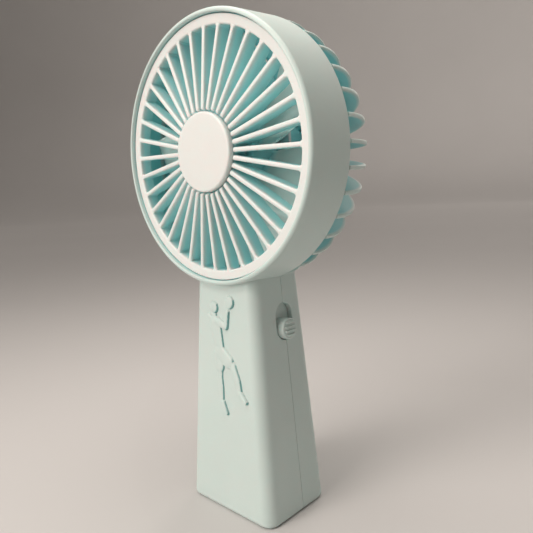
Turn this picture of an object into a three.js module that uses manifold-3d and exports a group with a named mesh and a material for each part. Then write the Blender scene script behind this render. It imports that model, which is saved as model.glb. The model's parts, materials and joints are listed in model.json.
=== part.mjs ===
// Handheld electric fan: a short round head on a tapered upright grip that stands on its own base.
// Two moulded shells meet on one plane. The front shell is the drum with the front of the grip, and the
// rear shell is the domed, finned guard with the back of the grip. Millimetres, +Z up, the grille faces -Y,
// and the origin is the centre of the base.
import * as THREE from "three";
import { mergeVertices } from "three/addons/utils/BufferGeometryUtils.js";
import Module from "manifold-3d";

const wasm = await Module();
wasm.setup();

// ---------------------------------------------------------------- driving dimensions
const wall = 2; // shell thickness
const seatGap = 0.2; // between two pieces that rest on each other
const screwSeatGap = 0.05; // under a screw head
const solderGap = 0.15; // under a piece soldered to the board
const sliver = 0.01; // edges shorter than this, left by cuts, are merged away
const looseGap = 0.3; // round a piece that sits in a pocket
const turnedGap = 0.3; // between pieces of the turned switch group and what they touch
const shaftGap = 0.15; // between the shaft and what it passes through

const cell = { diameter: 18.4, length: 65, buttonRadius: 4, buttonHeight: 0.8, shoulder: 0.8 };
const pad = { radius: 8.5, thickness: 2.4 };
const tab = { width: 5, thickness: 0.3, overlap: 3 };
const board = { width: 24, thickness: 1.6, bottomZ: 22, aboveSlot: 5, gapToCell: 1.2, partRoom: 3.9 };
const slot = { length: 14.6, width: 9.2, aboveCell: 7.4 };
const knob = {
  length: 8.2, width: 8.4, proud: 3.1, corner: 4, endGap: 0.4, plate: 1.2, plateLap: 0.8, plateRoom: 1.2,
  ridgePitch: 1.6, ridgeWidth: 0.7, ridgeHeight: 0.5,
};
const prong = { thickness: 1, width: 2, length: 2 };
const lever = { width: 1.4, thickness: 1.4, reach: 3.2, offsetY: 3.1 };
const switchBody = { length: 8.6, width: 4.2, depth: 4 };
const grip = { baseWidth: 47, topWidth: 33.4, frontTaper: 4.05, rearTaper: 3.15, corner: 5, footRound: 2 };

const drum = {
  frontRadius: 50, draft: 1, depth: 19.7, lipWidth: 1.7, lipOuterRound: 1.1, lipInnerRound: 0.5,
};
const ledge = { width: 1.6, thickness: 2.2 };
const grille = {
  recess: 1.6, ringWidth: 3.6, ringThickness: 2.1, skirt: 1.4, ribs: 36, ribThickness: 1.7, twistDeg: -1.2,
  rootOverlap: 0.6,
};
const grilleHub = {
  radius: 14, front: 1, thickness: 2, skirt: 2, pegRadius: 5, ribFront: -0.9, ribDip: 1.3, back: 7,
};
const centreCap = { radius: 14.6, proud: 2, thickness: 2.6, edgeRound: 0.8, pegLength: 4 };
const impeller = {
  blades: 7, hubRadius: 15.2, hubWall: 1.6, depth: 13.9, frontGap: 1.6, tipGap: 3.3, bladeThickness: 1.4,
  rootChordDeg: 54, tipChordDeg: 43, sweepDeg: 14, boss: 3.2, bossDepth: 2.4, bossShort: 4, bladeInset: 1,
  phaseDeg: 22,
};
const motor = { radius: 12, length: 16, canWall: 0.8, shaftRadius: 1, bossRadius: 3.8, bossLength: 1.6 };
const bell = { thickness: 2, bossLength: 1.7, bossWall: 1.2, endSkin: 0.6 };
const bushing = { outerRadius: 2.8, length: 2.6 };
const magnet = { thickness: 2.2, length: 11.5, spanDeg: 110 };
const armature = { airGap: 0.5, length: 10, slots: 3, slotWidth: 1.6, coreRadius: 3.4 };
const commutator = { radius: 2.4, length: 1.2 };
const brush = { height: 2, thickness: 0.6, reach: 3.4 };
const terminal = { width: 2, thickness: 0.4, length: 2.4, x: 4 };
const retainer = { thickness: 1.4, width: 18, screwX: 16.8, endRound: 2.4, hole: 4.5 };
const impellerToScrews = 1.7;
const guard = {
  fins: 36, finThickness: 1.5, finDepth: 6.5, shoulderRadius: 25, hubRadius: 15.5, floor: 2,
  ringWidth: 3, ringFront: 3, ringRear: 2.8, straight: 2.1,
};
const cup = { wall: 1.6 };
const lead = { radius: 0.5, steps: 30, curveSegments: 3, x: 5.3 };
const leadHole = { radius: 1.6, y: 6 }; // y is measured from the parting plane
const shellScrew = {
  headRadius: 2.4, headHeight: 1.8, shankRadius: 1.1, engagement: 9, bossWall: 1.2, besideCell: 0.6, baseZ: 12,
};
const smallScrew = { headRadius: 1.9, headHeight: 1, shankRadius: 0.9, engagement: 8, bossWall: 1.4 };
const screwSlot = 0.6; // width of the cross in a screw head
const boardScrew = { x: 8.6, z: 44, engagement: 3 };
const usb = {
  width: 7.8, height: 3, wall: 0.4, z: 27, floor: 1, mouthInset: 0.4, tongueWidth: 5, tongueThickness: 0.7,
  tongueShort: 1.2,
};
const lens = { radius: 1.5, z: 36 };
const led = { width: 1.6, height: 0.9, deep: 0.8 };
const chip = { width: 5, length: 4, height: 1.5, x: 0, z: 52 };
const inductor = { width: 5.2, length: 5.2, height: 2.6, x: -4.5, z: 62 };
const capacitor = { radius: 1.3, length: 6, x: 4.5, z: 62 };
const plug = { width: 7, height: 4, deep: 2.7, x: -5, aboveSlot: -0.5, pinSpacing: 1.8 };
const cradle = { fromEnd: 15, thickness: 1.6 };
const relief = { height: 0.7, fromZ: 30 };

// ---------------------------------------------------------------- places worked out from them
const cellRadius = cell.diameter / 2;
const padZ = wall + seatGap;
const lowerTabZ = padZ + pad.thickness + seatGap;
const cellZ = lowerTabZ + tab.thickness + seatGap;
const cellTopZ = cellZ + cell.length;
const upperTabZ = cellTopZ + cell.buttonHeight + seatGap;
const slotZ = cellTopZ + slot.aboveCell;
const travel = slot.length - knob.length - 2 * knob.endGap;
const plateHalf = slot.length / 2 + travel / 2 + knob.plateLap;
const neckZ = slotZ + travel / 2 + plateHalf + knob.plateRoom;

const cellRoom = looseGap + cell.diameter + board.gapToCell + board.thickness + board.partRoom;
const taperAtCellTop = ((grip.frontTaper + grip.rearTaper) * cellTopZ) / neckZ;
const baseDepth = cellRoom + 2 * wall + taperAtCellTop;
const rimY = -baseDepth / 2; // the rim stands flush with the front of the base
const partingY = rimY + drum.depth;
const joinGap = 0.1; // each shell stops this far short of the parting plane
const cellY = rimY + (grip.frontTaper * cellTopZ) / neckZ + wall + looseGap + cellRadius;
const boardY = cellY + cellRadius + board.gapToCell;
const boardBackY = boardY + board.thickness;
const boardTopZ = slotZ + board.aboveSlot;

const rearRadius = drum.frontRadius + drum.draft;
const axisZ = neckZ + rearRadius;
const lipRadius = drum.frontRadius - drum.lipWidth;
const grilleRadius = lipRadius - looseGap;
const ringInner = grilleRadius - grille.ringWidth;
const ledgeRadius = lipRadius - ledge.width;
const tipRadius = ledgeRadius - impeller.tipGap;

const grilleY = rimY + grille.recess;
const ledgeY = grilleY + grille.ringThickness + seatGap;
const impellerY = rimY + grilleHub.back + impeller.frontGap;
const impellerBackY = impellerY + impeller.depth;
const retainerY = impellerBackY + impellerToScrews + smallScrew.headHeight;
const motorY = retainerY + retainer.thickness + seatGap;
const bellY = motorY + motor.length + seatGap;
const bellBackY = bellY + bell.thickness;
const cupFloorY = bellBackY + looseGap;
const backY = cupFloorY + guard.floor;
const cupInner = motor.radius + looseGap;
const cupOuter = cupInner + cup.wall;
const shaftHole = motor.shaftRadius + shaftGap;

const sideSlope = Math.atan((grip.baseWidth - grip.topWidth) / 2 / neckZ);

// ---------------------------------------------------------------- solid helpers
function solidOf(geometry) {
  const bare = geometry.index ? geometry.toNonIndexed() : geometry.clone();
  bare.deleteAttribute("normal");
  bare.deleteAttribute("uv");
  const merged = mergeVertices(bare, 1e-4);
  const kept = [];
  const index = merged.index.array;
  for (let i = 0; i < index.length; i += 3) {
    const [a, b, c] = [index[i], index[i + 1], index[i + 2]];
    if (a !== b && b !== c && c !== a) kept.push(a, b, c);
  }
  return new wasm.Manifold(
    new wasm.Mesh({
      numProp: 3,
      vertProperties: merged.attributes.position.array,
      triVerts: new Uint32Array(kept),
    }),
  );
}

function geometryOf(solid) {
  const mesh = solid.asOriginal().simplify(sliver).getMesh();
  const flat = new Float32Array(mesh.numVert * 3);
  for (let i = 0; i < mesh.numVert; i++) {
    flat.set(mesh.vertProperties.subarray(i * mesh.numProp, i * mesh.numProp + 3), i * 3);
  }
  const geometry = new THREE.BufferGeometry()
    .setAttribute("position", new THREE.BufferAttribute(flat, 3))
    .setIndex(new THREE.BufferAttribute(mesh.triVerts, 1));
  geometry.computeVertexNormals();
  return geometry;
}

const addAll = (solids) => solids.reduce((sum, next) => sum.add(next));
const cutAll = (body, tools) => tools.reduce((left, tool) => left.subtract(tool), body);

function box(x0, x1, y0, y1, z0, z1) {
  return new THREE.BoxGeometry(x1 - x0, y1 - y0, z1 - z0)
    .translate((x0 + x1) / 2, (y0 + y1) / 2, (z0 + z1) / 2);
}

// A closed profile of [radius, y] points turned about the head's own axis, which runs along Y.
function turned(profile, segments) {
  const area = profile.reduce((sum, [r, y], i) => {
    const [nextR, nextY] = profile[(i + 1) % profile.length];
    return sum + r * nextY - nextR * y;
  }, 0);
  const loop = area > 0 ? profile : [...profile].reverse();
  const onAxis = loop.findIndex(([r], i) => r === 0 && loop[(i + 1) % loop.length][0] !== 0);
  const ordered = onAxis < 0 ? [...loop, loop[0]] : [...loop.slice(onAxis), ...loop.slice(0, onAxis)];
  const points = ordered.map(([r, y]) => new THREE.Vector2(r, y));
  return new THREE.LatheGeometry(points, segments);
}

const onHead = (geometry) => geometry.translate(0, 0, axisZ);

// A rod along Z from z0 to z1.
function rodZ(radius, x, y, z0, z1, segments = 14) {
  return new THREE.CylinderGeometry(radius, radius, z1 - z0, segments)
    .rotateX(Math.PI / 2)
    .translate(x, y, (z0 + z1) / 2);
}

// A rod along Y from y0 to y1.
function rodY(radius, x, z, y0, y1, segments = 16) {
  return new THREE.CylinderGeometry(radius, radius, y1 - y0, segments).translate(x, (y0 + y1) / 2, z);
}

function ring(outer, inner, y0, y1, segments) {
  return turned([[inner, y0], [outer, y0], [outer, y1], [inner, y1]], segments);
}

// Quarter-round points from angle a to b about a centre, as [radius, y] pairs.
function arc(centreR, centreY, radiusR, radiusY, a, b, steps) {
  return Array.from({ length: steps + 1 }, (_, i) => {
    const angle = a + ((b - a) * i) / steps;
    return [centreR + radiusR * Math.cos(angle), centreY + radiusY * Math.sin(angle)];
  });
}

// A flat plate drawn in the plane of radius and Y, set on edge at an angle round the head's axis.
function radialPlate(outline, thickness, angle) {
  const shape = new THREE.Shape(outline.map(([r, y]) => new THREE.Vector2(r, y)));
  return new THREE.ExtrudeGeometry(shape, { depth: thickness, bevelEnabled: false })
    .translate(0, 0, -thickness / 2)
    .rotateY(-angle);
}

// A shape drawn in X and Z, extruded along Y from y0 to y1.
function prismY(shape, y0, y1, curveSegments = 6) {
  return new THREE.ExtrudeGeometry(shape, { depth: y1 - y0, bevelEnabled: false, curveSegments })
    .rotateX(Math.PI / 2)
    .translate(0, y1, 0);
}

function roundedShape(width, height, radius) {
  const [w, h] = [width / 2 - radius, height / 2 - radius];
  const quarter = Math.PI / 2;
  const shape = new THREE.Shape();
  shape.absarc(w, h, radius, 0, quarter, false);
  shape.absarc(-w, h, radius, quarter, 2 * quarter, false);
  shape.absarc(-w, -h, radius, 2 * quarter, 3 * quarter, false);
  shape.absarc(w, -h, radius, 3 * quarter, 4 * quarter, false);
  return shape;
}

// Level rings of points joined into one closed skin.
function loft(sections) {
  const count = sections[0].length;
  const positions = sections.flat().flatMap((p) => [p.x, p.y, p.z]);
  const index = [];
  for (let s = 0; s + 1 < sections.length; s++) {
    for (let i = 0; i < count; i++) {
      const a = s * count + i;
      const b = s * count + ((i + 1) % count);
      index.push(a, b, b + count, a, b + count, a + count);
    }
  }
  const last = (sections.length - 1) * count;
  for (let i = 1; i + 1 < count; i++) {
    index.push(0, i + 1, i);
    index.push(last, last + i, last + i + 1);
  }
  return new THREE.BufferGeometry()
    .setAttribute("position", new THREE.Float32BufferAttribute(positions, 3))
    .setIndex(index);
}

// ---------------------------------------------------------------- grip form
// Half width, front and rear of the grip at a height, all drawn in by an inset.
function gripAt(z, inset) {
  const share = z / neckZ;
  return {
    half: grip.baseWidth / 2 - ((grip.baseWidth - grip.topWidth) / 2) * share - inset,
    front: rimY + grip.frontTaper * share + inset,
    rear: -rimY - grip.rearTaper * share - inset,
  };
}

function gripSection(z, inset, cornerSteps = 5) {
  const { half, front, rear } = gripAt(z, inset);
  const radius = Math.max(grip.corner - inset, 0.6);
  const corners = [
    [half - radius, front + radius, -Math.PI / 2],
    [half - radius, rear - radius, 0],
    [-half + radius, rear - radius, Math.PI / 2],
    [-half + radius, front + radius, Math.PI],
  ];
  return corners.flatMap(([x, y, start]) =>
    Array.from({ length: cornerSteps + 1 }, (_, i) => {
      const angle = start + ((Math.PI / 2) * i) / cornerSteps;
      return new THREE.Vector3(x + radius * Math.cos(angle), y + radius * Math.sin(angle), z);
    }),
  );
}

const gripTopZ = neckZ + 4.6; // reaches into the drum's wall all the way across

function gripOuter() {
  const foot = [0, 1, 2].map((i) => {
    const angle = (Math.PI / 2) * (i / 2);
    return gripSection(grip.footRound * (1 - Math.sin(angle)), grip.footRound * (1 - Math.cos(angle)));
  });
  return solidOf(loft([...foot.reverse(), gripSection(gripTopZ, 0)]));
}

const gripLoft = (z0, z1, inset) => solidOf(loft([gripSection(z0, inset), gripSection(z1, inset)]));

const gripCavity = () => gripLoft(wall, gripTopZ + 1, wall);

const headDisc = (radius) => solidOf(onHead(rodY(radius, 0, 0, rimY - 5, backY + 5, 72)));

// The shell walls close on the parting plane, each short of it by the join gap.
function halfSpace(front) {
  const far = 200;
  const y = front ? partingY - joinGap : partingY + joinGap;
  return solidOf(front ? box(-far, far, -far, y, -far, far * 2) : box(-far, far, y, far, -far, far * 2));
}

// The turned frame of the switch: X out of the side wall, Z up along it, origin on the outer face.
const sideFrame = new THREE.Matrix4()
  .makeTranslation(gripAt(slotZ, 0).half, partingY, slotZ)
  .multiply(new THREE.Matrix4().makeRotationY(-sideSlope));

// A shape drawn across (Y, Z) of the turned frame, extruded along its X from x0 to x1.
function sidePrism(shape, x0, x1, curveSegments = 8) {
  return new THREE.ExtrudeGeometry(shape, { depth: x1 - x0, bevelEnabled: false, curveSegments })
    .rotateY(Math.PI / 2)
    .rotateX(Math.PI / 2)
    .translate(x0, 0, 0);
}

function slotTool() {
  const outline = roundedShape(slot.width, slot.length, slot.width / 2 - sliver);
  return solidOf(sidePrism(outline, -wall - 1.5, 2).applyMatrix4(sideFrame));
}

// ---------------------------------------------------------------- screw places
const rearBossRadius = shellScrew.headRadius + looseGap + shellScrew.bossWall;
const frontBossRadius = shellScrew.shankRadius + shaftGap + shellScrew.bossWall;
const lowerScrewX = cellRadius + looseGap + shellScrew.besideCell + rearBossRadius;
const topScrewZ = neckZ - shellScrew.headRadius - shellScrew.bossWall - 1;
const screwPlaces = [
  ["shell_screw_lower_left", -lowerScrewX, shellScrew.baseZ],
  ["shell_screw_lower_right", lowerScrewX, shellScrew.baseZ],
  ["shell_screw_top", 0, topScrewZ],
];
const screwSeatY = partingY + joinGap + wall; // underside of the heads

// ---------------------------------------------------------------- front shell
function drumOutline() {
  const outer = arc(drum.frontRadius - drum.lipOuterRound, rimY + drum.lipOuterRound,
    drum.lipOuterRound, drum.lipOuterRound, -Math.PI / 2, 0, 2);
  return [[0, rimY], ...outer, [rearRadius, partingY], [0, partingY]];
}

function drumBore() {
  const lip = arc(lipRadius + drum.lipInnerRound, rimY + drum.lipInnerRound,
    drum.lipInnerRound, drum.lipInnerRound, -Math.PI / 2, -Math.PI, 1);
  const duct = drum.frontRadius - wall;
  return [
    [0, rimY - 1], [lip[0][0], rimY - 1], ...lip,
    [lipRadius, ledgeY], [ledgeRadius, ledgeY], [ledgeRadius, ledgeY + ledge.thickness],
    [duct, ledgeY + ledge.thickness + 1.5], [rearRadius - wall, partingY + 1], [0, partingY + 1],
  ];
}

// A raised mark of a leaping player, built of plain rounded limbs.
function playerMark() {
  const limb = (x0, z0, x1, z1, r0, r1) => {
    const turn = Math.atan2(z1 - z0, x1 - x0);
    const shape = new THREE.Shape();
    shape.absarc(x0, z0, r0, turn + Math.PI / 2, turn + (3 * Math.PI) / 2, false);
    shape.absarc(x1, z1, r1, turn - Math.PI / 2, turn + Math.PI / 2, false);
    return shape;
  };
  const limbs = [
    limb(-4.4, 77.6, -1.8, 66.5, 2.5, 1.9), // trunk
    limb(-1.8, 66, 4.6, 61.2, 2.3, 1.7), // raised thigh
    limb(4.6, 61.2, 8.8, 52.4, 1.6, 1), // raised shin
    limb(8.8, 52.2, 11.4, 48.8, 1.1, 0.7), // raised foot
    limb(-2.2, 65.6, -2, 55.6, 2, 1.4), // straight thigh
    limb(-2, 55.6, -1.2, 46.4, 1.3, 0.9), // straight shin
    limb(-1.2, 46, 1, 42.2, 1, 0.7), // pointed foot
    limb(-4, 78.6, 1.4, 77.2, 1.3, 1.1), // upper arm
    limb(1.4, 77.2, 2.6, 83.4, 1.1, 0.8), // forearm
    limb(-5.2, 78, -9.2, 80.4, 1.2, 0.8), // far arm
  ].map((shape) => prismY(shape, rimY - 2, rimY + 6, 4));
  const rounds = [
    rodY(2.1, -4.6, 83.4, rimY - 2, rimY + 6, 14), // head
    rodY(2.3, 3.6, 87, rimY - 2, rimY + 6, 14), // ball
  ];
  const skin = gripLoft(relief.fromZ, neckZ, -relief.height).subtract(gripLoft(relief.fromZ, neckZ, wall / 2));
  return addAll([...limbs, ...rounds].map((geometry) => solidOf(geometry))).intersect(skin);
}

// Ribs across the front of the grip, rooted in its wall and hollowed to the cell.
function cellCradles() {
  const room = gripLoft(wall, neckZ, wall / 2);
  const cellHole = solidOf(
    new THREE.CylinderGeometry(cellRadius + looseGap, cellRadius + looseGap, cell.length, 32)
      .rotateX(Math.PI / 2)
      .translate(0, cellY, cellZ + cell.length / 2),
  );
  const lowerZ = cellZ + cradle.fromEnd;
  const upperZ = cellTopZ - cradle.fromEnd - cradle.thickness;
  return [lowerZ, upperZ].map((z) =>
    solidOf(box(-40, 40, rimY, cellY, z, z + cradle.thickness))
      .intersect(room)
      .subtract(cellHole),
  );
}

function frontShell() {
  const drumSolid = solidOf(onHead(turned(drumOutline(), 72)));
  const cavity = gripCavity().subtract(headDisc(drum.frontRadius));
  const reach = partingY - joinGap;
  const pilotRadius = shellScrew.shankRadius + shaftGap;
  const bosses = screwPlaces.map(([, x, z]) =>
    solidOf(rodY(frontBossRadius, x, z, rimY + wall / 2, reach, 14)).intersect(gripOuter()),
  );
  const pilots = screwPlaces.map(([, x, z]) =>
    solidOf(rodY(pilotRadius, x, z, screwSeatY - shellScrew.engagement - 1, reach + 1, 12)),
  );
  const hollow = gripOuter()
    .intersect(halfSpace(true))
    .add(drumSolid.intersect(halfSpace(true)))
    .subtract(cavity)
    .add(addAll(cellCradles()))
    .add(addAll(bosses))
    .add(playerMark());
  return cutAll(hollow, [solidOf(onHead(turned(drumBore(), 72))), slotTool(), ...pilots]);
}

// ---------------------------------------------------------------- rear shell
const guardRadius = rearRadius - wall - looseGap - drum.draft * (guard.ringFront / drum.depth);
const roofRadius = guardRadius - 1;
const shoulderY = partingY + guard.straight; // where the dome starts to curve in
const farBehind = backY + 10; // where cuts from behind start

function finOutline() {
  const centreR = rearRadius - guard.shoulderRadius;
  const inner = guard.shoulderRadius - guard.finDepth;
  const height = backY - shoulderY;
  return [
    [rearRadius, partingY + joinGap + 0.3],
    ...arc(centreR, shoulderY, guard.shoulderRadius, height, 0, Math.PI / 2, 6),
    [cupOuter - 0.8, backY],
    [cupOuter - 0.8, backY - guard.finDepth],
    ...arc(centreR, shoulderY, inner, height - guard.finDepth, Math.PI / 2, 0, 4),
    [centreR + inner, partingY + joinGap + 0.3],
  ];
}

function guardFins() {
  const outline = finOutline();
  return Array.from({ length: guard.fins }, (_, i) =>
    solidOf(onHead(radialPlate(outline, guard.finThickness, (i * 2 * Math.PI) / guard.fins))),
  );
}

function motorCup() {
  return turned(
    [[0, backY], [guard.hubRadius, backY], [guard.hubRadius, cupFloorY], [cupOuter, cupFloorY],
      [cupOuter, motorY], [cupInner, motorY], [cupInner, cupFloorY], [0, cupFloorY]],
    40,
  );
}

const retainerSpots = [-retainer.screwX, retainer.screwX];
const retainerBossRadius = smallScrew.shankRadius + shaftGap + smallScrew.bossWall;

function rearScrewTools() {
  return screwPlaces.flatMap(([, x, z]) => [
    solidOf(rodY(shellScrew.headRadius + looseGap, x, z, screwSeatY, farBehind, 16)),
    solidOf(rodY(shellScrew.shankRadius + shaftGap, x, z, partingY - 1, screwSeatY + 1, 12)),
  ]);
}

function boardPosts() {
  return [-boardScrew.x, boardScrew.x].map((x) => {
    const rear = gripAt(boardScrew.z, 0).rear;
    return solidOf(rodY(2, x, boardScrew.z, boardBackY + seatGap, rear - wall / 2, 14));
  });
}

function rearShell() {
  const grips = gripOuter().intersect(halfSpace(false)).subtract(headDisc(roofRadius));
  const cavity = gripCavity().subtract(headDisc(rearRadius));
  const bosses = screwPlaces.map(([, x, z]) =>
    solidOf(rodY(rearBossRadius, x, z, partingY + joinGap, 30, 18)).intersect(gripOuter()),
  );
  const handle = grips.subtract(cavity).add(addAll(bosses)).add(addAll(boardPosts()));
  const [ringY0, ringY1] = [partingY - guard.ringFront, partingY + guard.ringRear];
  const guardRing = solidOf(onHead(ring(guardRadius, guardRadius - guard.ringWidth, ringY0, ringY1, 72)));
  const hub = solidOf(onHead(motorCup()));
  const retainerBosses = retainerSpots.map((x) =>
    solidOf(rodY(retainerBossRadius, x, axisZ, retainerY + retainer.thickness + seatGap, backY - 1, 14)),
  );
  const motorRoom = solidOf(onHead(rodY(cupInner, 0, 0, motorY - 1, cupFloorY, 40)));
  const notch = solidOf(box(-6.5, 6.5, motorY + 9, cupFloorY, axisZ - cupOuter - 0.4, axisZ - cupInner + 2));
  const passages = [-1, 1].map((side) =>
    solidOf(rodZ(leadHole.radius, side * lead.x, partingY + leadHole.y, neckZ - 2, axisZ - roofRadius + 1)),
  );
  const pilotRadius = smallScrew.shankRadius + shaftGap;
  const retainerPilots = retainerSpots.map((x) =>
    solidOf(rodY(pilotRadius, x, axisZ, retainerY, retainerY + smallScrew.engagement + 2, 12)),
  );
  const boardPilots = [-boardScrew.x, boardScrew.x].map((x) =>
    solidOf(rodY(pilotRadius, x, boardScrew.z, boardBackY, boardBackY + boardScrew.engagement + 0.6, 12)),
  );
  const usbMouth = roundedShape(usb.width + 2 * looseGap, usb.height + 2 * looseGap, 1.2);
  const usbHole = solidOf(prismY(usbMouth, boardBackY, farBehind, 4).translate(0, 0, usb.z));
  const lensHole = solidOf(rodY(lens.radius + looseGap, 0, lens.z, boardBackY, farBehind, 14));
  const body = handle.add(guardRing).add(addAll(guardFins())).add(hub).add(addAll(retainerBosses));
  return cutAll(body, [
    motorRoom, notch, ...passages, slotTool(), usbHole, lensHole,
    ...rearScrewTools(), ...retainerPilots, ...boardPilots,
  ]);
}

// ---------------------------------------------------------------- grille and cap
function frontGrille() {
  const back = rimY + grilleHub.back;
  const rim = solidOf(
    turned(
      [
        [ringInner, grilleY], [grilleRadius, grilleY], [grilleRadius, grilleY + grille.ringThickness],
        [ringInner + grille.skirt, grilleY + grille.ringThickness], [ringInner + grille.skirt, back],
        [ringInner, back],
      ],
      72,
    ),
  );
  const hub = solidOf(
    turned(
      [
        [grilleHub.pegRadius + looseGap, rimY + grilleHub.front],
        [grilleHub.radius, rimY + grilleHub.front],
        [grilleHub.radius, back],
        [grilleHub.radius - grilleHub.skirt, back],
        [grilleHub.radius - grilleHub.skirt, rimY + grilleHub.front + grilleHub.thickness],
        [grilleHub.pegRadius + looseGap, rimY + grilleHub.front + grilleHub.thickness],
      ],
      36,
    ),
  );
  const rib = [
    [grilleHub.radius - grille.rootOverlap, rimY + grilleHub.ribDip],
    [centreCap.radius + looseGap, rimY + grilleHub.ribDip],
    [centreCap.radius + looseGap, rimY + grilleHub.ribFront + 0.6],
    [centreCap.radius + looseGap + 0.6, rimY + grilleHub.ribFront],
    [ringInner + grille.rootOverlap, grilleY + 0.05],
    [ringInner + grille.rootOverlap, back - 0.1],
    [grilleHub.radius - grille.rootOverlap, back - 0.1],
  ];
  const twist = (grille.twistDeg * Math.PI) / 180;
  const ribs = Array.from({ length: grille.ribs }, (_, i) =>
    solidOf(radialPlate(rib, grille.ribThickness, twist + (i * 2 * Math.PI) / grille.ribs)),
  );
  return rim.add(hub).add(addAll(ribs));
}

function grilleCap() {
  const front = rimY - centreCap.proud;
  const edge = arc(centreCap.radius - centreCap.edgeRound, front + centreCap.edgeRound,
    centreCap.edgeRound, centreCap.edgeRound, -Math.PI / 2, 0, 3);
  const back = front + centreCap.thickness;
  return turned(
    [[0, front], ...edge, [centreCap.radius, back], [grilleHub.pegRadius, back],
      [grilleHub.pegRadius, back + centreCap.pegLength], [0, back + centreCap.pegLength]],
    40,
  );
}

// ---------------------------------------------------------------- impeller
// A blade as rings of points at growing radii, each ring running along its front and back along its rear.
function bladeSections(index) {
  const [radialSteps, chordSteps] = [4, 5];
  const rad = Math.PI / 180;
  const start = ((360 / impeller.blades) * index + impeller.phaseDeg) * rad;
  const y0 = impellerY + impeller.bladeInset;
  const y1 = impellerBackY - impeller.bladeInset;
  const inner = impeller.hubRadius - 0.6;
  const point = (i, j, side) => {
    const t = i / radialSteps;
    const u = j / chordSteps;
    const radius = inner + (tipRadius - inner) * t;
    const chord = (impeller.rootChordDeg + (impeller.tipChordDeg - impeller.rootChordDeg) * t) * rad;
    const angle = start + impeller.sweepDeg * rad * t + (u - 0.5) * chord;
    const fullness = Math.sin(Math.PI * THREE.MathUtils.clamp(u, 0.1, 0.9));
    const half = (impeller.bladeThickness / 2) * (0.55 + 0.45 * fullness);
    const rise = u + 0.1 * Math.sin(Math.PI * u);
    const y = y0 + half + (y1 - y0 - 2 * half) * rise * 0.97 + side * half;
    return new THREE.Vector3(radius * Math.cos(angle), y, radius * Math.sin(angle));
  };
  return Array.from({ length: radialSteps + 1 }, (_, i) => [
    ...Array.from({ length: chordSteps + 1 }, (_, j) => point(i, j, -1)),
    ...Array.from({ length: chordSteps + 1 }, (_, j) => point(i, chordSteps - j, 1)),
  ]);
}

// Rings of points joined as a closed skin whose ends are strips between the two long sides.
function bladeGeometry(sections) {
  const count = sections[0].length;
  const positions = sections.flat().flatMap((p) => [p.x, p.y, p.z]);
  const index = [];
  for (let s = 0; s + 1 < sections.length; s++) {
    for (let i = 0; i < count; i++) {
      const a = s * count + i;
      const b = s * count + ((i + 1) % count);
      index.push(a, b + count, b, a, a + count, b + count);
    }
  }
  const last = (sections.length - 1) * count;
  for (let i = 0; i + 1 < count / 2; i++) {
    const [near, far] = [i, count - 1 - i];
    index.push(near, near + 1, far - 1, near, far - 1, far);
    index.push(last + near, last + far - 1, last + near + 1, last + near, last + far, last + far - 1);
  }
  return new THREE.BufferGeometry()
    .setAttribute("position", new THREE.Float32BufferAttribute(positions, 3))
    .setIndex(index);
}

function impellerBody() {
  const hub = turned(
    [
      [shaftHole, impellerY + impeller.bossDepth],
      [shaftHole, impellerBackY - impeller.bossShort],
      [impeller.boss, impellerBackY - impeller.bossShort],
      [impeller.boss, impellerY + impeller.bossDepth - 0.4],
      [impeller.hubRadius - impeller.hubWall, impellerY + impeller.bossDepth - 0.4],
      [impeller.hubRadius - impeller.hubWall, impellerBackY],
      [impeller.hubRadius, impellerBackY],
      [impeller.hubRadius, impellerY + 1.6],
      [impeller.hubRadius - 1.6, impellerY],
      [0, impellerY],
      [0, impellerY + impeller.bossDepth],
    ],
    32,
  );
  const core = solidOf(rodY(impeller.hubRadius - 0.8, 0, 0, impellerY + 3, impellerBackY + 1, 32));
  const blades = Array.from({ length: impeller.blades }, (_, i) =>
    solidOf(bladeGeometry(bladeSections(i))).subtract(core),
  );
  return solidOf(hub).add(addAll(blades));
}

// ---------------------------------------------------------------- motor
const canInner = motor.radius - motor.canWall;
const magnetOuter = canInner - looseGap;
const magnetInner = magnetOuter - magnet.thickness;
const armatureRadius = magnetInner - armature.airGap;
const bushingHole = bushing.outerRadius + 0.2;
const bossY = motorY - motor.bossLength;
const frontBushingY = bossY + 0.1;
const rearBushingY = bellY - bell.bossLength + 0.1;
const bellBossRadius = bushingHole + bell.bossWall;
const shaftEndY = bellBackY - bell.endSkin - looseGap;
const shaftFrontY = impellerY + impeller.bossDepth + seatGap;

const motorCan = () =>
  turned(
    [[bushingHole, bossY], [motor.bossRadius, bossY], [motor.bossRadius, motorY], [motor.radius, motorY],
      [motor.radius, motorY + motor.length], [canInner, motorY + motor.length],
      [canInner, motorY + motor.canWall], [bushingHole, motorY + motor.canWall]],
    28,
  );

const motorBell = () =>
  turned(
    [[0, bellBackY], [motor.radius, bellBackY], [motor.radius, bellY], [bellBossRadius, bellY],
      [bellBossRadius, bellY - bell.bossLength], [bushingHole, bellY - bell.bossLength],
      [bushingHole, bellBackY - bell.endSkin], [0, bellBackY - bell.endSkin]],
    28,
  );

const bushingRing = (y) => ring(bushing.outerRadius, shaftHole, y, y + bushing.length, 20);

const armatureMidY = motorY + motor.canWall + 1 + magnet.length / 2;

function armatureBody() {
  const y0 = armatureMidY - armature.length / 2;
  const disc = solidOf(ring(armatureRadius, shaftHole, y0, y0 + armature.length, 30));
  const slots = Array.from({ length: armature.slots }, (_, i) =>
    solidOf(
      box(armature.coreRadius, armatureRadius + 1, y0 - 1, y0 + armature.length + 1,
        -armature.slotWidth / 2, armature.slotWidth / 2).rotateY((i * 2 * Math.PI) / armature.slots),
    ),
  );
  return cutAll(disc, slots);
}

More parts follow.
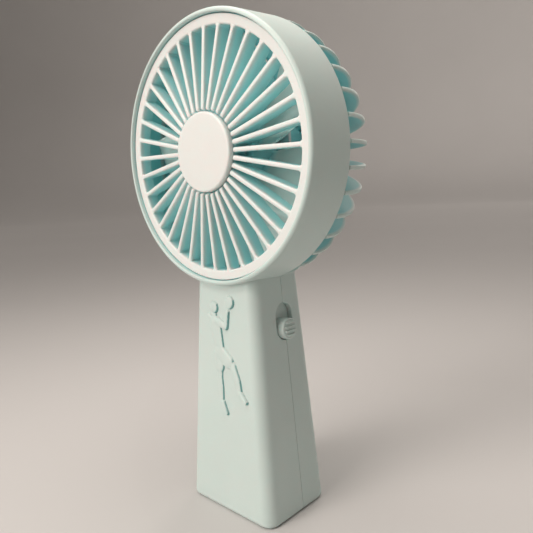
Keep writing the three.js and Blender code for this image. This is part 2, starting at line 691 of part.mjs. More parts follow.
function magnetBlock(side) {
  const half = ((magnet.spanDeg / 2) * Math.PI) / 180;
  const middle = side > 0 ? 0 : Math.PI;
  const shape = new THREE.Shape();
  shape.absarc(0, 0, magnetOuter, middle - half, middle + half, false);
  shape.absarc(0, 0, magnetInner, middle + half, middle - half, true);
  const y0 = armatureMidY - magnet.length / 2;
  return prismY(shape, y0, y0 + magnet.length, 10);
}

const commutatorY = armatureMidY + armature.length / 2 + looseGap;
const commutatorRing = () =>
  ring(commutator.radius, shaftHole, commutatorY, commutatorY + commutator.length, 18);

function brushArm(side) {
  const tip = commutator.radius + 0.3;
  const stem = tip + brush.reach;
  const shape = new THREE.Shape(
    [
      [tip, commutatorY + 0.2],
      [stem + brush.thickness, commutatorY + 0.2],
      [stem + brush.thickness, bellY - seatGap],
      [stem, bellY - seatGap],
      [stem, commutatorY + 0.2 + brush.thickness],
      [tip, commutatorY + 0.2 + brush.thickness],
    ].map(([x, y]) => new THREE.Vector2(x, y)),
  );
  const arm = new THREE.ExtrudeGeometry(shape, { depth: brush.height, bevelEnabled: false });
  return arm.translate(0, 0, -brush.height / 2).rotateY(side > 0 ? 0 : Math.PI);
}

function terminalTab(side) {
  const x = side * terminal.x;
  const rimZ = -Math.sqrt(motor.radius ** 2 - (terminal.x - terminal.width / 2) ** 2);
  const y1 = bellBackY - 0.1;
  return box(x - terminal.width / 2, x + terminal.width / 2, y1 - terminal.length, y1,
    rimZ - looseGap - terminal.thickness, rimZ - looseGap);
}

function retainerPlate() {
  const length = 2 * (retainer.screwX + retainer.endRound);
  const outline = roundedShape(length, retainer.width, retainer.endRound);
  const plate = solidOf(prismY(outline, retainerY, retainerY + retainer.thickness, 4));
  const holes = [
    rodY(retainer.hole, 0, 0, retainerY - 1, motorY, 24),
    ...retainerSpots.map((x) => rodY(smallScrew.shankRadius + shaftGap, x, 0, retainerY - 1, motorY, 12)),
  ];
  return cutAll(plate, holes.map((geometry) => solidOf(geometry)));
}

const retainerScrew = (x) => screwBody(smallScrew, x, 0, retainerY - screwSeatGap, 1, smallScrew.engagement);

const boardFixing = (x) =>
  screwBody(smallScrew, x, boardScrew.z, boardY - screwSeatGap, 1, board.thickness + boardScrew.engagement);

const shellFixing = (x, z) =>
  screwBody(shellScrew, x, z, screwSeatY + screwSeatGap, -1, shellScrew.engagement);

// A pan-head screw along Y with a cross in its head. The head's underside is at y, and the shank runs
// from there in the given direction.
function screwBody(spec, x, z, y, direction, engagement) {
  const along = (distance) => y + direction * distance;
  const profile = [
    [0, along(-spec.headHeight)],
    [spec.headRadius * 0.8, along(-spec.headHeight)],
    [spec.headRadius, along(-spec.headHeight * 0.6)],
    [spec.headRadius, along(0)],
    [spec.shankRadius, along(0)],
    [spec.shankRadius, along(engagement - 1)],
    [0, along(engagement)],
  ];
  const wing = spec.headRadius * 0.6;
  const [y0, y1] = [along(-spec.headHeight / 2), along(-spec.headHeight - 1)].sort((a, b) => a - b);
  const cross = [
    box(-wing, wing, y0, y1, -screwSlot / 2, screwSlot / 2),
    box(-screwSlot / 2, screwSlot / 2, y0, y1, -wing, wing),
  ].map((geometry) => solidOf(geometry));
  return cutAll(solidOf(turned(profile, 10)), cross).translate(x, 0, z);
}

// ---------------------------------------------------------------- cell, board and its parts
function cellBody() {
  const profile = [
    [0, cellZ], [cellRadius, cellZ], [cellRadius, cellTopZ - cell.shoulder],
    [cellRadius - cell.shoulder, cellTopZ], [cell.buttonRadius, cellTopZ],
    [cell.buttonRadius, cellTopZ + cell.buttonHeight], [0, cellTopZ + cell.buttonHeight],
  ];
  return turned(profile, 32).rotateX(Math.PI / 2).translate(0, cellY, 0);
}

const padDisc = () =>
  new THREE.CylinderGeometry(pad.radius, pad.radius, pad.thickness, 24)
    .rotateX(Math.PI / 2)
    .translate(0, cellY, padZ + pad.thickness / 2);

// An L of nickel strip: flat on the cell's end, then up the face of the board.
function tabStrip(z, topZ) {
  const riserY = boardY - looseGap - tab.thickness;
  const outline = [
    [cellY - tab.width / 2, z], [riserY + tab.thickness, z], [riserY + tab.thickness, topZ],
    [riserY, topZ], [riserY, z + tab.thickness], [cellY - tab.width / 2, z + tab.thickness],
  ];
  const shape = new THREE.Shape(outline.map(([y, up]) => new THREE.Vector2(y, up)));
  return new THREE.ExtrudeGeometry(shape, { depth: tab.width, bevelEnabled: false })
    .rotateY(Math.PI / 2)
    .rotateX(Math.PI / 2)
    .translate(-tab.width / 2, 0, 0);
}

function boardBody() {
  const plate = solidOf(box(-board.width / 2, board.width / 2, boardY, boardBackY, board.bottomZ, boardTopZ));
  const holes = [-boardScrew.x, boardScrew.x].map((x) =>
    solidOf(rodY(smallScrew.shankRadius + shaftGap, x, boardScrew.z, boardY - 1, boardBackY + 1, 12)),
  );
  return cutAll(plate, holes);
}

const onBoardBack = boardBackY + solderGap;
const rearFaceAt = (z) => gripAt(z, 0).rear;

function usbShell() {
  const mouthY = rearFaceAt(usb.z) - usb.mouthInset;
  const outer = solidOf(prismY(roundedShape(usb.width, usb.height, 1), onBoardBack, mouthY, 4));
  const hollow = roundedShape(usb.width - 2 * usb.wall, usb.height - 2 * usb.wall, 0.6);
  const bore = solidOf(prismY(hollow, onBoardBack + usb.floor, mouthY + 1, 4));
  return outer.subtract(bore).translate(0, 0, usb.z);
}

function usbTongue() {
  const tipY = rearFaceAt(usb.z) - usb.mouthInset - usb.tongueShort;
  return box(-usb.tongueWidth / 2, usb.tongueWidth / 2, onBoardBack + usb.floor + seatGap, tipY,
    usb.z - usb.tongueThickness / 2, usb.z + usb.tongueThickness / 2);
}

const lensRod = () => rodY(lens.radius, 0, lens.z, onBoardBack + led.deep + seatGap, rearFaceAt(lens.z) - 0.1);

const ledBlock = () =>
  box(-led.width / 2, led.width / 2, onBoardBack, onBoardBack + led.deep,
    lens.z - led.height / 2, lens.z + led.height / 2);

const onBoard = (part) =>
  box(part.x - part.width / 2, part.x + part.width / 2, onBoardBack, onBoardBack + part.height,
    part.z - part.length / 2, part.z + part.length / 2);

const capacitorCan = () =>
  new THREE.CylinderGeometry(capacitor.radius, capacitor.radius, capacitor.length, 16)
    .rotateX(Math.PI / 2)
    .translate(capacitor.x, onBoardBack + capacitor.radius, capacitor.z);

const plugZ = slotZ + plug.aboveSlot;
const onBoardFront = boardY - solderGap;

const plugBlock = () =>
  box(plug.x - plug.width / 2, plug.x + plug.width / 2, onBoardFront - plug.deep, onBoardFront,
    plugZ - plug.height / 2, plugZ + plug.height / 2);

// ---------------------------------------------------------------- motor leads
function leadTube(points) {
  const stops = points.map((point) => new THREE.Vector3(...point));
  const curve = new THREE.CatmullRomCurve3(stops, false, "centripetal");
  const section = new THREE.Shape();
  section.absarc(0, 0, lead.radius, 0, 2 * Math.PI, false);
  return new THREE.ExtrudeGeometry(section, {
    steps: lead.steps, curveSegments: lead.curveSegments, bevelEnabled: false, extrudePath: curve,
  });
}

// Out of the cup's notch, down inside the fins, through the roof of the grip and into the plug.
function motorLead(side, plugX) {
  const notchZ = axisZ - (cupInner + cupOuter) / 2;
  const neckX = side * lead.x;
  const plugTop = plugZ + plug.height / 2 + looseGap;
  const plugY = onBoardFront - plug.deep / 2;
  return leadTube([
    [side * terminal.x, bellBackY - 0.8, notchZ],
    [side * terminal.x, bellBackY - 3, notchZ],
    [side * terminal.x, bellBackY - 5, notchZ - 0.8],
    [side * (terminal.x + 0.2), bellBackY - 6, axisZ - 17],
    [neckX, bellBackY - 7.4, axisZ - 24],
    [neckX, bellBackY - 10, axisZ - 32],
    [neckX, bellBackY - 14.5, axisZ - 39],
    [neckX, partingY + 8.6, axisZ - 43],
    [neckX, partingY + leadHole.y, axisZ - roofRadius + 0.6],
    [neckX, partingY + leadHole.y, neckZ - 1],
    [neckX, partingY + leadHole.y - 0.6, neckZ - 5],
    [(neckX + plugX) / 2, plugY, plugTop + 3.4],
    [plugX, plugY, plugTop + 1.2],
    [plugX, plugY, plugTop],
  ]);
}

// ---------------------------------------------------------------- switch
const restZ = -travel / 2; // the knob rests at the bottom of its slot, switched off
const plateX = -wall - turnedGap;

function knobBody() {
  const block = solidOf(
    sidePrism(roundedShape(knob.width, knob.length, knob.corner), plateX - 0.2, knob.proud - knob.ridgeHeight),
  );
  const plateShape = roundedShape(slot.width + 2, 2 * plateHalf, 1);
  const plate = solidOf(sidePrism(plateShape, plateX - knob.plate, plateX, 3));
  const ridgeHalf = knob.width / 2 - 1.4;
  const ridges = [-1.5, -0.5, 0.5, 1.5].map((step) =>
    solidOf(
      box(knob.proud - knob.ridgeHeight - 0.2, knob.proud, -ridgeHalf, ridgeHalf,
        step * knob.ridgePitch - knob.ridgeWidth / 2, step * knob.ridgePitch + knob.ridgeWidth / 2),
    ),
  );
  const gap = lever.width / 2 + turnedGap;
  const prongs = [gap, -gap - prong.thickness].map((z) =>
    solidOf(
      box(plateX - knob.plate - prong.length, plateX - knob.plate + 0.2,
        lever.offsetY - prong.width / 2, lever.offsetY + prong.width / 2, z, z + prong.thickness),
    ),
  );
  return addAll([block, plate, ...ridges, ...prongs]).translate(0, 0, restZ);
}

const leverTipX = plateX - knob.plate - turnedGap;
const switchFaceX = leverTipX - lever.reach - turnedGap;

const leverBody = () =>
  new THREE.BoxGeometry(lever.reach, lever.thickness, lever.width)
    .translate(leverTipX - lever.reach / 2, lever.offsetY, restZ);

function switchBlock() {
  const backY = onBoardFront - partingY;
  return box(switchFaceX - switchBody.depth, switchFaceX, backY - switchBody.width, backY,
    -switchBody.length / 2, switchBody.length / 2);
}

// ---------------------------------------------------------------- materials
const looks = {
  mint: { color: 0xc3d8cf, roughness: 0.42, metalness: 0 },
  mintInside: { color: 0xa9d3cb, roughness: 0.45, metalness: 0 },
  cream: { color: 0xe9e4dc, roughness: 0.4, metalness: 0 },
  steel: { color: 0xb9bcc0, roughness: 0.3, metalness: 1 },
  laminations: { color: 0x55585c, roughness: 0.4, metalness: 1 },
  brass: { color: 0xc9a24a, roughness: 0.35, metalness: 1 },
  bronze: { color: 0xa87b4a, roughness: 0.45, metalness: 1 },
  black: { color: 0x1d1e20, roughness: 0.5, metalness: 0 },
  white: { color: 0xeeeeea, roughness: 0.5, metalness: 0 },
  boardGreen: { color: 0x1c5a3a, roughness: 0.5, metalness: 0 },
  blueSleeve: { color: 0x2f6fb0, roughness: 0.35, metalness: 0 },
  foam: { color: 0x2b2b2d, roughness: 0.95, metalness: 0 },
  red: { color: 0xb3251e, roughness: 0.45, metalness: 0 },
  ferrite: { color: 0x3c3b3a, roughness: 0.7, metalness: 0 },
  clear: { color: 0xdfe8e6, roughness: 0.2, metalness: 0 },
};

// ---------------------------------------------------------------- assembly
const fan = new THREE.Group();
const head = new THREE.Group(); // on the axis that the impeller turns about
head.position.set(0, 0, axisZ);
const side = new THREE.Group(); // on the side wall, turned with its slope
sideFrame.decompose(side.position, side.quaternion, side.scale);
fan.add(head, side);

function place(parent, name, shape, look) {
  const geometry = shape.isBufferGeometry ? shape : geometryOf(shape);
  const mesh = new THREE.Mesh(geometry, new THREE.MeshStandardMaterial(look));
  mesh.name = name;
  parent.add(mesh);
}

place(fan, "front_shell", frontShell(), looks.mint);
place(fan, "rear_shell", rearShell(), looks.mint);

place(head, "front_grille", frontGrille(), looks.cream);
place(head, "grille_centre_cap", grilleCap(), looks.cream);
place(head, "impeller", impellerBody(), looks.mintInside);
place(head, "motor_can", motorCan(), looks.steel);
place(head, "motor_end_bell", motorBell(), looks.white);
place(head, "motor_front_bushing", bushingRing(frontBushingY), looks.bronze);
place(head, "motor_rear_bushing", bushingRing(rearBushingY), looks.bronze);
place(head, "motor_shaft", rodY(motor.shaftRadius, 0, 0, shaftFrontY, shaftEndY), looks.steel);
place(head, "motor_armature", armatureBody(), looks.laminations);
place(head, "motor_commutator", commutatorRing(), looks.brass);
place(head, "motor_retainer", retainerPlate(), looks.steel);

place(fan, "battery_cell", cellBody(), looks.blueSleeve);
place(fan, "battery_pad", padDisc(), looks.foam);
place(fan, "battery_positive_tab", tabStrip(upperTabZ, upperTabZ + tab.overlap), looks.steel);
place(fan, "battery_negative_tab", tabStrip(lowerTabZ, board.bottomZ + tab.overlap), looks.steel);

place(fan, "circuit_board", boardBody(), looks.boardGreen);
place(fan, "usb_socket", usbShell(), looks.steel);
place(fan, "usb_tongue", usbTongue(), looks.black);
place(fan, "charge_led", ledBlock(), looks.white);
place(fan, "indicator_lens", lensRod(), looks.clear);
place(fan, "charger_chip", onBoard(chip), looks.black);
place(fan, "power_inductor", onBoard(inductor), looks.ferrite);
place(fan, "filter_capacitor", capacitorCan(), looks.steel);
place(fan, "motor_plug", plugBlock(), looks.white);

place(side, "switch_knob", knobBody(), looks.mint);
place(side, "switch_lever", leverBody(), looks.black);
place(side, "switch_body", switchBlock(), looks.steel);

for (const [word, sign] of [["left", -1], ["right", 1]]) {
  place(head, `motor_magnet_${word}`, magnetBlock(sign), looks.ferrite);
  place(head, `motor_brush_${word}`, brushArm(sign), looks.brass);
  place(head, `motor_terminal_${word}`, terminalTab(sign), looks.brass);
  place(head, `retainer_screw_${word}`, retainerScrew(sign * retainer.screwX), looks.steel);
  place(fan, `board_screw_${word}`, boardFixing(sign * boardScrew.x), looks.steel);
}
place(fan, "motor_lead_black", motorLead(-1, plug.x - plug.pinSpacing), looks.black);
place(fan, "motor_lead_red", motorLead(1, plug.x + plug.pinSpacing), looks.red);

for (const [name, x, z] of screwPlaces) {
  place(fan, name, shellFixing(x, z), looks.steel);
}

export default fan;
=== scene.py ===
import json
import math

import bmesh
import bpy
from mathutils import Matrix, Vector


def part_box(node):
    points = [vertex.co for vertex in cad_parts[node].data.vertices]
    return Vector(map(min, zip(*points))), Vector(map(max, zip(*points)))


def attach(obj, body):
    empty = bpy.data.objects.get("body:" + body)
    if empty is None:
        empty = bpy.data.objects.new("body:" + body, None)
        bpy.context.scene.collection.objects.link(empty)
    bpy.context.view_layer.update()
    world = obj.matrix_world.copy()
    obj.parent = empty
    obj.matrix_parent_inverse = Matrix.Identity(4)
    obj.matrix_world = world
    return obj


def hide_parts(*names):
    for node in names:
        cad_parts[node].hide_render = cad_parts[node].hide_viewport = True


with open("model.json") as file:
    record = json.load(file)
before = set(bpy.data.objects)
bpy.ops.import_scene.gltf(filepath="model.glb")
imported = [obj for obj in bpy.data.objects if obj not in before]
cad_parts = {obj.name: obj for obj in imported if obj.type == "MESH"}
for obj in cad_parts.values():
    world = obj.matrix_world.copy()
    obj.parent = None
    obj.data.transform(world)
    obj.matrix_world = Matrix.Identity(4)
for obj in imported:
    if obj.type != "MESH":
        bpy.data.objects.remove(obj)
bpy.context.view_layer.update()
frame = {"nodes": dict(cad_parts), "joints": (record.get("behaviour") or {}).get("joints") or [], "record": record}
mm = 0.001


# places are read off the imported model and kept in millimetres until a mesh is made
def boxOf(node):
    low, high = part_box(node)
    return low / mm, high / mm


def middleOf(node):  # across and up
    low, high = boxOf(node)
    return (low.x + high.x) / 2, (low.z + high.z) / 2


joints = {joint["name"]: joint for joint in frame["joints"]}
frontLow, frontHigh = boxOf("front_shell")
rearLow, rearHigh = boxOf("rear_shell")
grilleLow, grilleHigh = boxOf("front_grille")
capLow, capHigh = boxOf("grille_centre_cap")
wheelLow, wheelHigh = boxOf("impeller")
cellLow, cellHigh = boxOf("battery_cell")

axisZ = joints["impeller_spin"]["pos_m"][2] / mm  # height of the head's axis
rimY = frontLow.y  # plane of the front rim
seam = 0.1  # each shell stops this far short of the joining plane
partingY = frontHigh.y + seam
backY = rearHigh.y
drumRadius = rearHigh.x
neckZ = axisZ - drumRadius
print("frame loaded: axis", round(axisZ, 1), "rim", round(rimY, 1), "parting", round(partingY, 2))


# shapes as (points, faces) in millimetres
def lofted(rings, closed=True):
    count = len(rings[0])
    points = [p for ring in rings for p in ring]
    faces = []
    for s in range(len(rings) - 1):
        for i in range(count):
            a, b = s * count + i, s * count + (i + 1) % count
            faces.append((a, b, b + count, a + count))
    if closed:
        faces.append(tuple(reversed(range(count))))
        faces.append(tuple(range(len(points) - count, len(points))))
    return points, faces


def merged(shapes):
    points, faces = [], []
    for shapePoints, shapeFaces in shapes:
        base = len(points)
        points += shapePoints
        faces += [tuple(base + i for i in face) for face in shapeFaces]
    return points, faces


# a closed outline whose corners (u, v, radius) are rounded off
def softened(corners, steps=5):
    outline = []
    for i, (u, v, radius) in enumerate(corners):
        here = Vector((u, v))
        toBefore = (Vector(corners[i - 1][:2]) - here).normalized()
        toAfter = (Vector(corners[(i + 1) % len(corners)][:2]) - here).normalized()
        if radius <= 0:
            outline.append((u, v))
            continue
        half = toBefore.angle(toAfter) / 2
        centre = here + (toBefore + toAfter).normalized() * (radius / math.sin(half))
        start = here + toBefore * (radius / math.tan(half)) - centre
        end = here + toAfter * (radius / math.tan(half)) - centre
        a0 = math.atan2(start.y, start.x)
        sweep = (math.atan2(end.y, end.x) - a0 + math.pi) % (2 * math.pi) - math.pi
        for k in range(steps + 1):
            a = a0 + sweep * k / steps
            outline.append((centre.x + radius * math.cos(a), centre.y + radius * math.sin(a)))
    return outline


# an outline of (radius, y) turned about an axis along Y
def turned(outline, steps=160, x=0.0, z=axisZ):
    count = len(outline)
    points, faces = [], []
    for i in range(steps):
        a = 2 * math.pi * i / steps
        points += [(x + r * math.cos(a), y, z + r * math.sin(a)) for r, y in outline]
    for i in range(steps):
        j = (i + 1) % steps
        for k in range(count):
            n = (k + 1) % count
            faces.append((i * count + k, i * count + n, j * count + n, j * count + k))
    return points, faces


def roundRect(width, height, radius, inset=0.0, steps=6):
    w, h, r = width / 2 - inset, height / 2 - inset, max(radius - inset, 0.05)
    return softened([(-w, -h, r), (w, -h, r), (w, h, r), (-w, h, r)], steps)


# shapeAt(inset) lofted from low to high, each end rounded over by its edge, or square where that is 0
def pillowed(shapeAt, low, high, edgeLow, edgeHigh, place, steps=5):
    stops = []
    for edge, start, direction in ((edgeLow, low, 1), (edgeHigh, high, -1)):
        part = []
        for k in range(steps + 1 if edge else 1):
            a = math.pi / 2 * k / steps
            part.append((edge * (1 - math.sin(a)), start + direction * edge * (1 - math.cos(a))))
        stops += part if direction > 0 else part[::-1]
    return lofted([[place(u, v, t) for u, v in shapeAt(inset)] for inset, t in stops])


def alongY(u, v, t):
    return (u, t, v)


def slab(low, high):
    (x0, y0, z0), (x1, y1, z1) = low, high
    ring = [(x0, y0), (x1, y0), (x1, y1), (x0, y1)]
    return lofted([[(x, y, z) for x, y in ring] for z in (z0, z1)])


def rod(radius, x, z, y0, y1, steps=32):
    return turned([(0, y0), (radius, y0), (radius, y1), (0, y1)], steps, x, z)


def placed(name, data):
    item = bpy.data.objects.new(name, data)
    bpy.context.scene.collection.objects.link(item)
    return item


# corners that fall together are joined, then the mesh is cleaned further where asked
def welded(mesh, apart, clean=None):
    work = bmesh.new()
    work.from_mesh(mesh)
    bmesh.ops.remove_doubles(work, verts=work.verts, dist=apart)
    if clean:
        clean(work)
    work.to_mesh(mesh)
    work.free()


def solid(name, shape):
    points, faces = shape
    mesh = bpy.data.meshes.new(name)
    mesh.from_pydata([(x * mm, y * mm, z * mm) for x, y, z in points], [], faces)
    welded(mesh, 1e-6, lambda work: bmesh.ops.recalc_face_normals(work, faces=work.faces))
    return placed(name, mesh)


# one after another, each tool is added to, cut from or crossed with the piece
def carve(piece, *steps):
    tools = []
    for operation, shape in steps:
        tool = shape if isinstance(shape, bpy.types.Object) else solid("tool", shape)
        tools.append(tool)
        change = piece.modifiers.new("change", "BOOLEAN")
        change.operation, change.object, change.solver = operation, tool, "MANIFOLD"
    graph = bpy.context.evaluated_depsgraph_get()
    mesh = bpy.data.meshes.new_from_object(piece.evaluated_get(graph))
    piece.modifiers.clear()
    piece.data = mesh
    for tool in tools:
        bpy.data.objects.remove(tool)
    welded(mesh, 2e-6, lambda work: bmesh.ops.dissolve_degenerate(work, edges=work.edges, dist=1e-7))
    return piece


# smooth shading that keeps the real edges, then the frame's own facts about the piece
def finished(piece, body, node, material, sharpAngle=32):
    mesh = piece.data
    mesh.shade_smooth()
    mesh.set_sharp_from_angle(angle=math.radians(sharpAngle))
    weighted = piece.modifiers.new("weighted", "WEIGHTED_NORMAL")
    weighted.keep_sharp = True
    mesh.materials.clear()
    mesh.materials.append(material)
    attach(piece, body)
    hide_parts(node)
    print("  made", piece.name, len(mesh.polygons), "faces")
    return piece


# an output socket, so that shader maths reads as plain expressions
class Wire:
    def __init__(self, recipe, socket):
        self.recipe, self.socket = recipe, socket

    def maths(self, operation, *values):
        sockets = dict(enumerate(values))
        return self.recipe.node("ShaderNodeMath", {"operation": operation}, sockets)

    def __add__(self, other):
        return self.maths("ADD", self, other)

    def __sub__(self, other):
        return self.maths("SUBTRACT", self, other)

    def __rsub__(self, other):
        return self.maths("SUBTRACT", other, self)

    def __mul__(self, other):
        return self.maths("MULTIPLY", self, other)

    def __truediv__(self, other):
        return self.maths("DIVIDE", self, other)

    def __pow__(self, other):
        return self.maths("POWER", self, other)

    __radd__, __rmul__ = __add__, __mul__

    def atLeast(self, floor):
        return self.maths("MAXIMUM", self, floor)

    def held(self):  # kept between 0 and 1
        return self.recipe.node("ShaderNodeClamp", {}, {"Value": self})


# a material being written: its shader's fixed values first, then the nodes that feed it
class Recipe:
    def __init__(self, name, **fixed):
        self.material = bpy.data.materials.new(name)
        self.material.use_nodes = True
        self.tree = self.material.node_tree
        self.shader = self.tree.nodes["Principled BSDF"]
        for socket, value in fixed.items():
            self.shader.inputs[socket.replace("_", " ")].default_value = value

    def node(self, kind, settings=(), sockets=(), output=0):
        made = self.tree.nodes.new(kind)
        for key, value in dict(settings).items():
            if key == "stops":
                while len(made.color_ramp.elements) < len(value):
                    made.color_ramp.elements.new(0.5)
                for element, (position, colour) in zip(made.color_ramp.elements, value):
                    element.position, element.color = position, (*colour, 1)
            else:
                setattr(made, key, value)
        for key, value in dict(sockets).items():
            self.feed(made.inputs[key], value)
        return Wire(self, made.outputs[output])

    def feed(self, socket, value):
        if isinstance(value, Wire):
            self.tree.links.new(value.socket, socket)
        elif socket.type == "RGBA":
            socket.default_value = (*value, 1)
        else:
            socket.default_value = value

    def noise(self, scale, detail=2.0, roughness=0.5, stretch=None):
        at = self.node("ShaderNodeTexCoord", output="Object")
        if stretch:
            at = self.node("ShaderNodeMapping", {}, {"Vector": at, "Scale": stretch})
        values = {"Vector": at, "Scale": scale, "Detail": detail, "Roughness": roughness}
        return self.node("ShaderNodeTexNoise", {}, values, "Fac")

    def ramp(self, factor, *stops):
        return self.node("ShaderNodeValToRGB", {"stops": stops}, {"Fac": factor}, "Color")

    def blend(self, factor, first, second, mode="MIX"):
        settings = {"data_type": "RGBA", "blend_type": mode}
        return self.node("ShaderNodeMix", settings, {0: factor, 6: first, 7: second}, 2)

    def bumps(self, *layers):
        normal = None
        for height, strength, distance in layers:
            values = {"Height": height, "Strength": strength, "Distance": distance * mm}
            if normal:
                values["Normal"] = normal
            normal = self.node("ShaderNodeBump", {}, values, "Normal")
        return normal

    def done(self, **fed):
        for socket, value in fed.items():
            self.feed(self.shader.inputs[socket.replace("_", " ")], value)
        return self.material


# satin moulded plastic: soft clouding from the melt, a fine spark-eroded grain and a little handling wear, plus
# painted shade where asked: deeper faces and the figure's right and lower faces tinted teal
def mouldedPlastic(name, look, shadeTint=None, shadeDepthOf=None, edges=None):
    glow = look.get("glow", 0.0)
    recipe = Recipe(name, IOR=1.46, Specular_IOR_Level=look.get("specular", 0.5), Subsurface_Weight=glow,
                    Subsurface_Radius=(0.35, 0.95, 0.9), Subsurface_Scale=look.get("depth", 1.2) * mm,
                    Coat_Roughness=0.3)
    clouds = recipe.noise(38, 3, 0.55)
    specks = recipe.noise(900, 2, 0.6)
    grain = recipe.noise(look["grain"], 3, 0.6)
    flow = recipe.noise(60, 2, 0.5, (1, 1, 0.25))
    rubbed = recipe.ramp(recipe.noise(22, 5, 0.65), (0.52, (0, 0, 0)), (0.72, (1, 1, 1)))
    tone = recipe.blend(clouds, look["deep"], look["colour"])
    tone = recipe.blend((specks - 0.62).held() * 1.2, tone, look["pale"])
    tone = recipe.blend(recipe.blend(1.0, rubbed, (0.07, 0.07, 0.07), "MULTIPLY"), tone, look["pale"])
    if shadeTint:  # painted shade: the faces that lie deeper are tinted teal, the colour the plastic shows in shade inside the recesses
        tone = recipe.blend((shadeDepthOf(recipe) / shadeTint["over"]).held() * shadeTint["share"], tone, shadeTint["colour"])
    # painted shade: the figure's faces that turn right or down are tinted dark teal
    if edges:
        tone = recipe.blend(edges(recipe), tone, figureShadeTint["colour"])
    shine = look["roughness"] + (flow - 0.5) * 0.12 + (specks - 0.5) * 0.06
    normal = recipe.bumps((grain, look["bite"], 0.03), (flow, 0.12, 0.12))
    return recipe.done(Base_Color=tone, Roughness=shine, Normal=normal)


shellLook = {
    "colour": (0.60, 0.70, 0.68), "deep": (0.555, 0.67, 0.645), "pale": (0.69, 0.79, 0.77),
    "roughness": 0.42, "grain": 2600, "bite": 0.35, "glow": 0.25, "depth": 0.9,
}
grilleLook = {
    "colour": (0.78, 0.80, 0.79), "deep": (0.73, 0.76, 0.75), "pale": (0.86, 0.88, 0.87),
    "roughness": 0.36, "grain": 2200, "bite": 0.2, "glow": 0.5, "depth": 1.6,
}
impellerLook = {
    "colour": (0.66, 0.78, 0.76), "deep": (0.61, 0.74, 0.72), "pale": (0.72, 0.83, 0.81),
    "roughness": 0.34, "grain": 1800, "bite": 0.15, "glow": 0.3, "depth": 1.8,
}
knobLook = dict(shellLook, roughness=0.5, grain=1500, bite=0.5)
# painted shade: teal tints laid on faces deep in the drum's bore, inside the guard, on the ribs' sides and on the
# wheel's hub
paintedDepthShade = {
    "front": {"colour": (0.32, 0.86, 0.88), "over": 1.0, "share": 0.9, "boreInset": 2.4, "behindRim": 0.35},
    "guard": {
        "colour": (0.22, 0.62, 0.65), "over": 1.0, "share": 0.95,
        "crownRadius": 26, "shoulder": 25, "shoulderFrom": 4.4, "shoulderDepth": 25.5, "skin": 0.5,
    },
    "ribs": {
        "colour": (0.46, 0.86, 0.88), "over": 2.2, "share": 0.9, "proud": 0.5, "flatTo": 15.5, "slope": 0.086,
    },
    "wheel": {"colour": (0.34, 0.74, 0.77), "over": 3.0, "share": 0.9, "rootRadius": 18.5},
}
# painted shade: a dark teal laid on the raised figure's faces that turn right or down
figureShadeTint = {
    "colour": (0.10, 0.34, 0.34), "right": 0.85, "down": 0.5, "from": 0.3, "over": 0.25, "share": 0.8,
    "low": 38, "high": 91, "halfWidth": 16, "widestAt": 36, "narrowing": 0.09, "behindRim": 6,
}


def ownPlace(recipe):
    at = recipe.node("ShaderNodeTexCoord", output="Object")
    parts = [recipe.node("ShaderNodeSeparateXYZ", {}, {"Vector": at}, axis) / mm for axis in "XYZ"]
    across, up = parts[0], parts[2] - axisZ
    return (across * across + up * up) ** 0.5, parts[1]


def depthInFront(recipe):  # how deep the painted shade lies: in from the bore of the drum and back from the rim
    (radius, y), shadeTint = ownPlace(recipe), paintedDepthShade["front"]
    return (drumRadius - shadeTint["boreInset"] - radius).held() * (y - rimY - shadeTint["behindRim"])


def depthInGuard(recipe):  # how deep the painted shade lies: in from the fins' outer edges
    (radius, y), shadeTint = ownPlace(recipe), paintedDepthShade["guard"]
    outward = (radius - shadeTint["crownRadius"]).atLeast(0) / shadeTint["shoulder"]
    rise = (y - shadeTint["shoulderFrom"]).atLeast(0) / shadeTint["shoulderDepth"]
    return (1 - (outward * outward + rise * rise) ** 0.5) * shadeTint["shoulder"] - shadeTint["skin"]


def depthInRibs(recipe):  # how deep the painted shade lies: back from the ribs' front edges, which slope back towards the ring
    (radius, y), shadeTint = ownPlace(recipe), paintedDepthShade["ribs"]
    return y - rimY + shadeTint["proud"] - (radius - shadeTint["flatTo"]).atLeast(0) * shadeTint["slope"]


def depthInWheel(recipe):  # how deep the painted shade lies: in from the blades' roots
    return paintedDepthShade["wheel"]["rootRadius"] - ownPlace(recipe)[0]


def figurePaintedShade(recipe):  # painted shade on the faces of the raised figure that turn right or down
    at = recipe.node("ShaderNodeTexCoord", output="Object")
    facing = recipe.node("ShaderNodeNewGeometry", output="Normal")
    x, y, z = [recipe.node("ShaderNodeSeparateXYZ", {}, {"Vector": at}, axis) / mm for axis in "XYZ"]
    right, down = [recipe.node("ShaderNodeSeparateXYZ", {}, {"Vector": facing}, axis) for axis in "XZ"]
    shadeTint = figureShadeTint
    steep = ((right * shadeTint["right"] - down * shadeTint["down"] - shadeTint["from"]) / shadeTint["over"]).held()
    beside = (shadeTint["halfWidth"] - (z - shadeTint["widestAt"]) * shadeTint["narrowing"] - (x * x) ** 0.5).held()
    within = beside * (z - shadeTint["low"]).held() * (shadeTint["high"] - z).held()
    return steep * within * (rimY + shadeTint["behindRim"] - y).held() * shadeTint["share"]


# the shell, guard, grille and impeller plastics carry painted shade on their deeper faces, the shell also on the
# raised figure
shellPlastic = mouldedPlastic("shellPlastic", shellLook, paintedDepthShade["front"], depthInFront, figurePaintedShade)
guardPlastic = mouldedPlastic("guardPlastic", shellLook, paintedDepthShade["guard"], depthInGuard)
grillePlastic = mouldedPlastic("grillePlastic", grilleLook, paintedDepthShade["ribs"], depthInRibs)
capPlastic = mouldedPlastic("capPlastic", grilleLook)
impellerPlastic = mouldedPlastic("impellerPlastic", impellerLook, paintedDepthShade["wheel"], depthInWheel)
knobPlastic = mouldedPlastic("knobPlastic", knobLook)


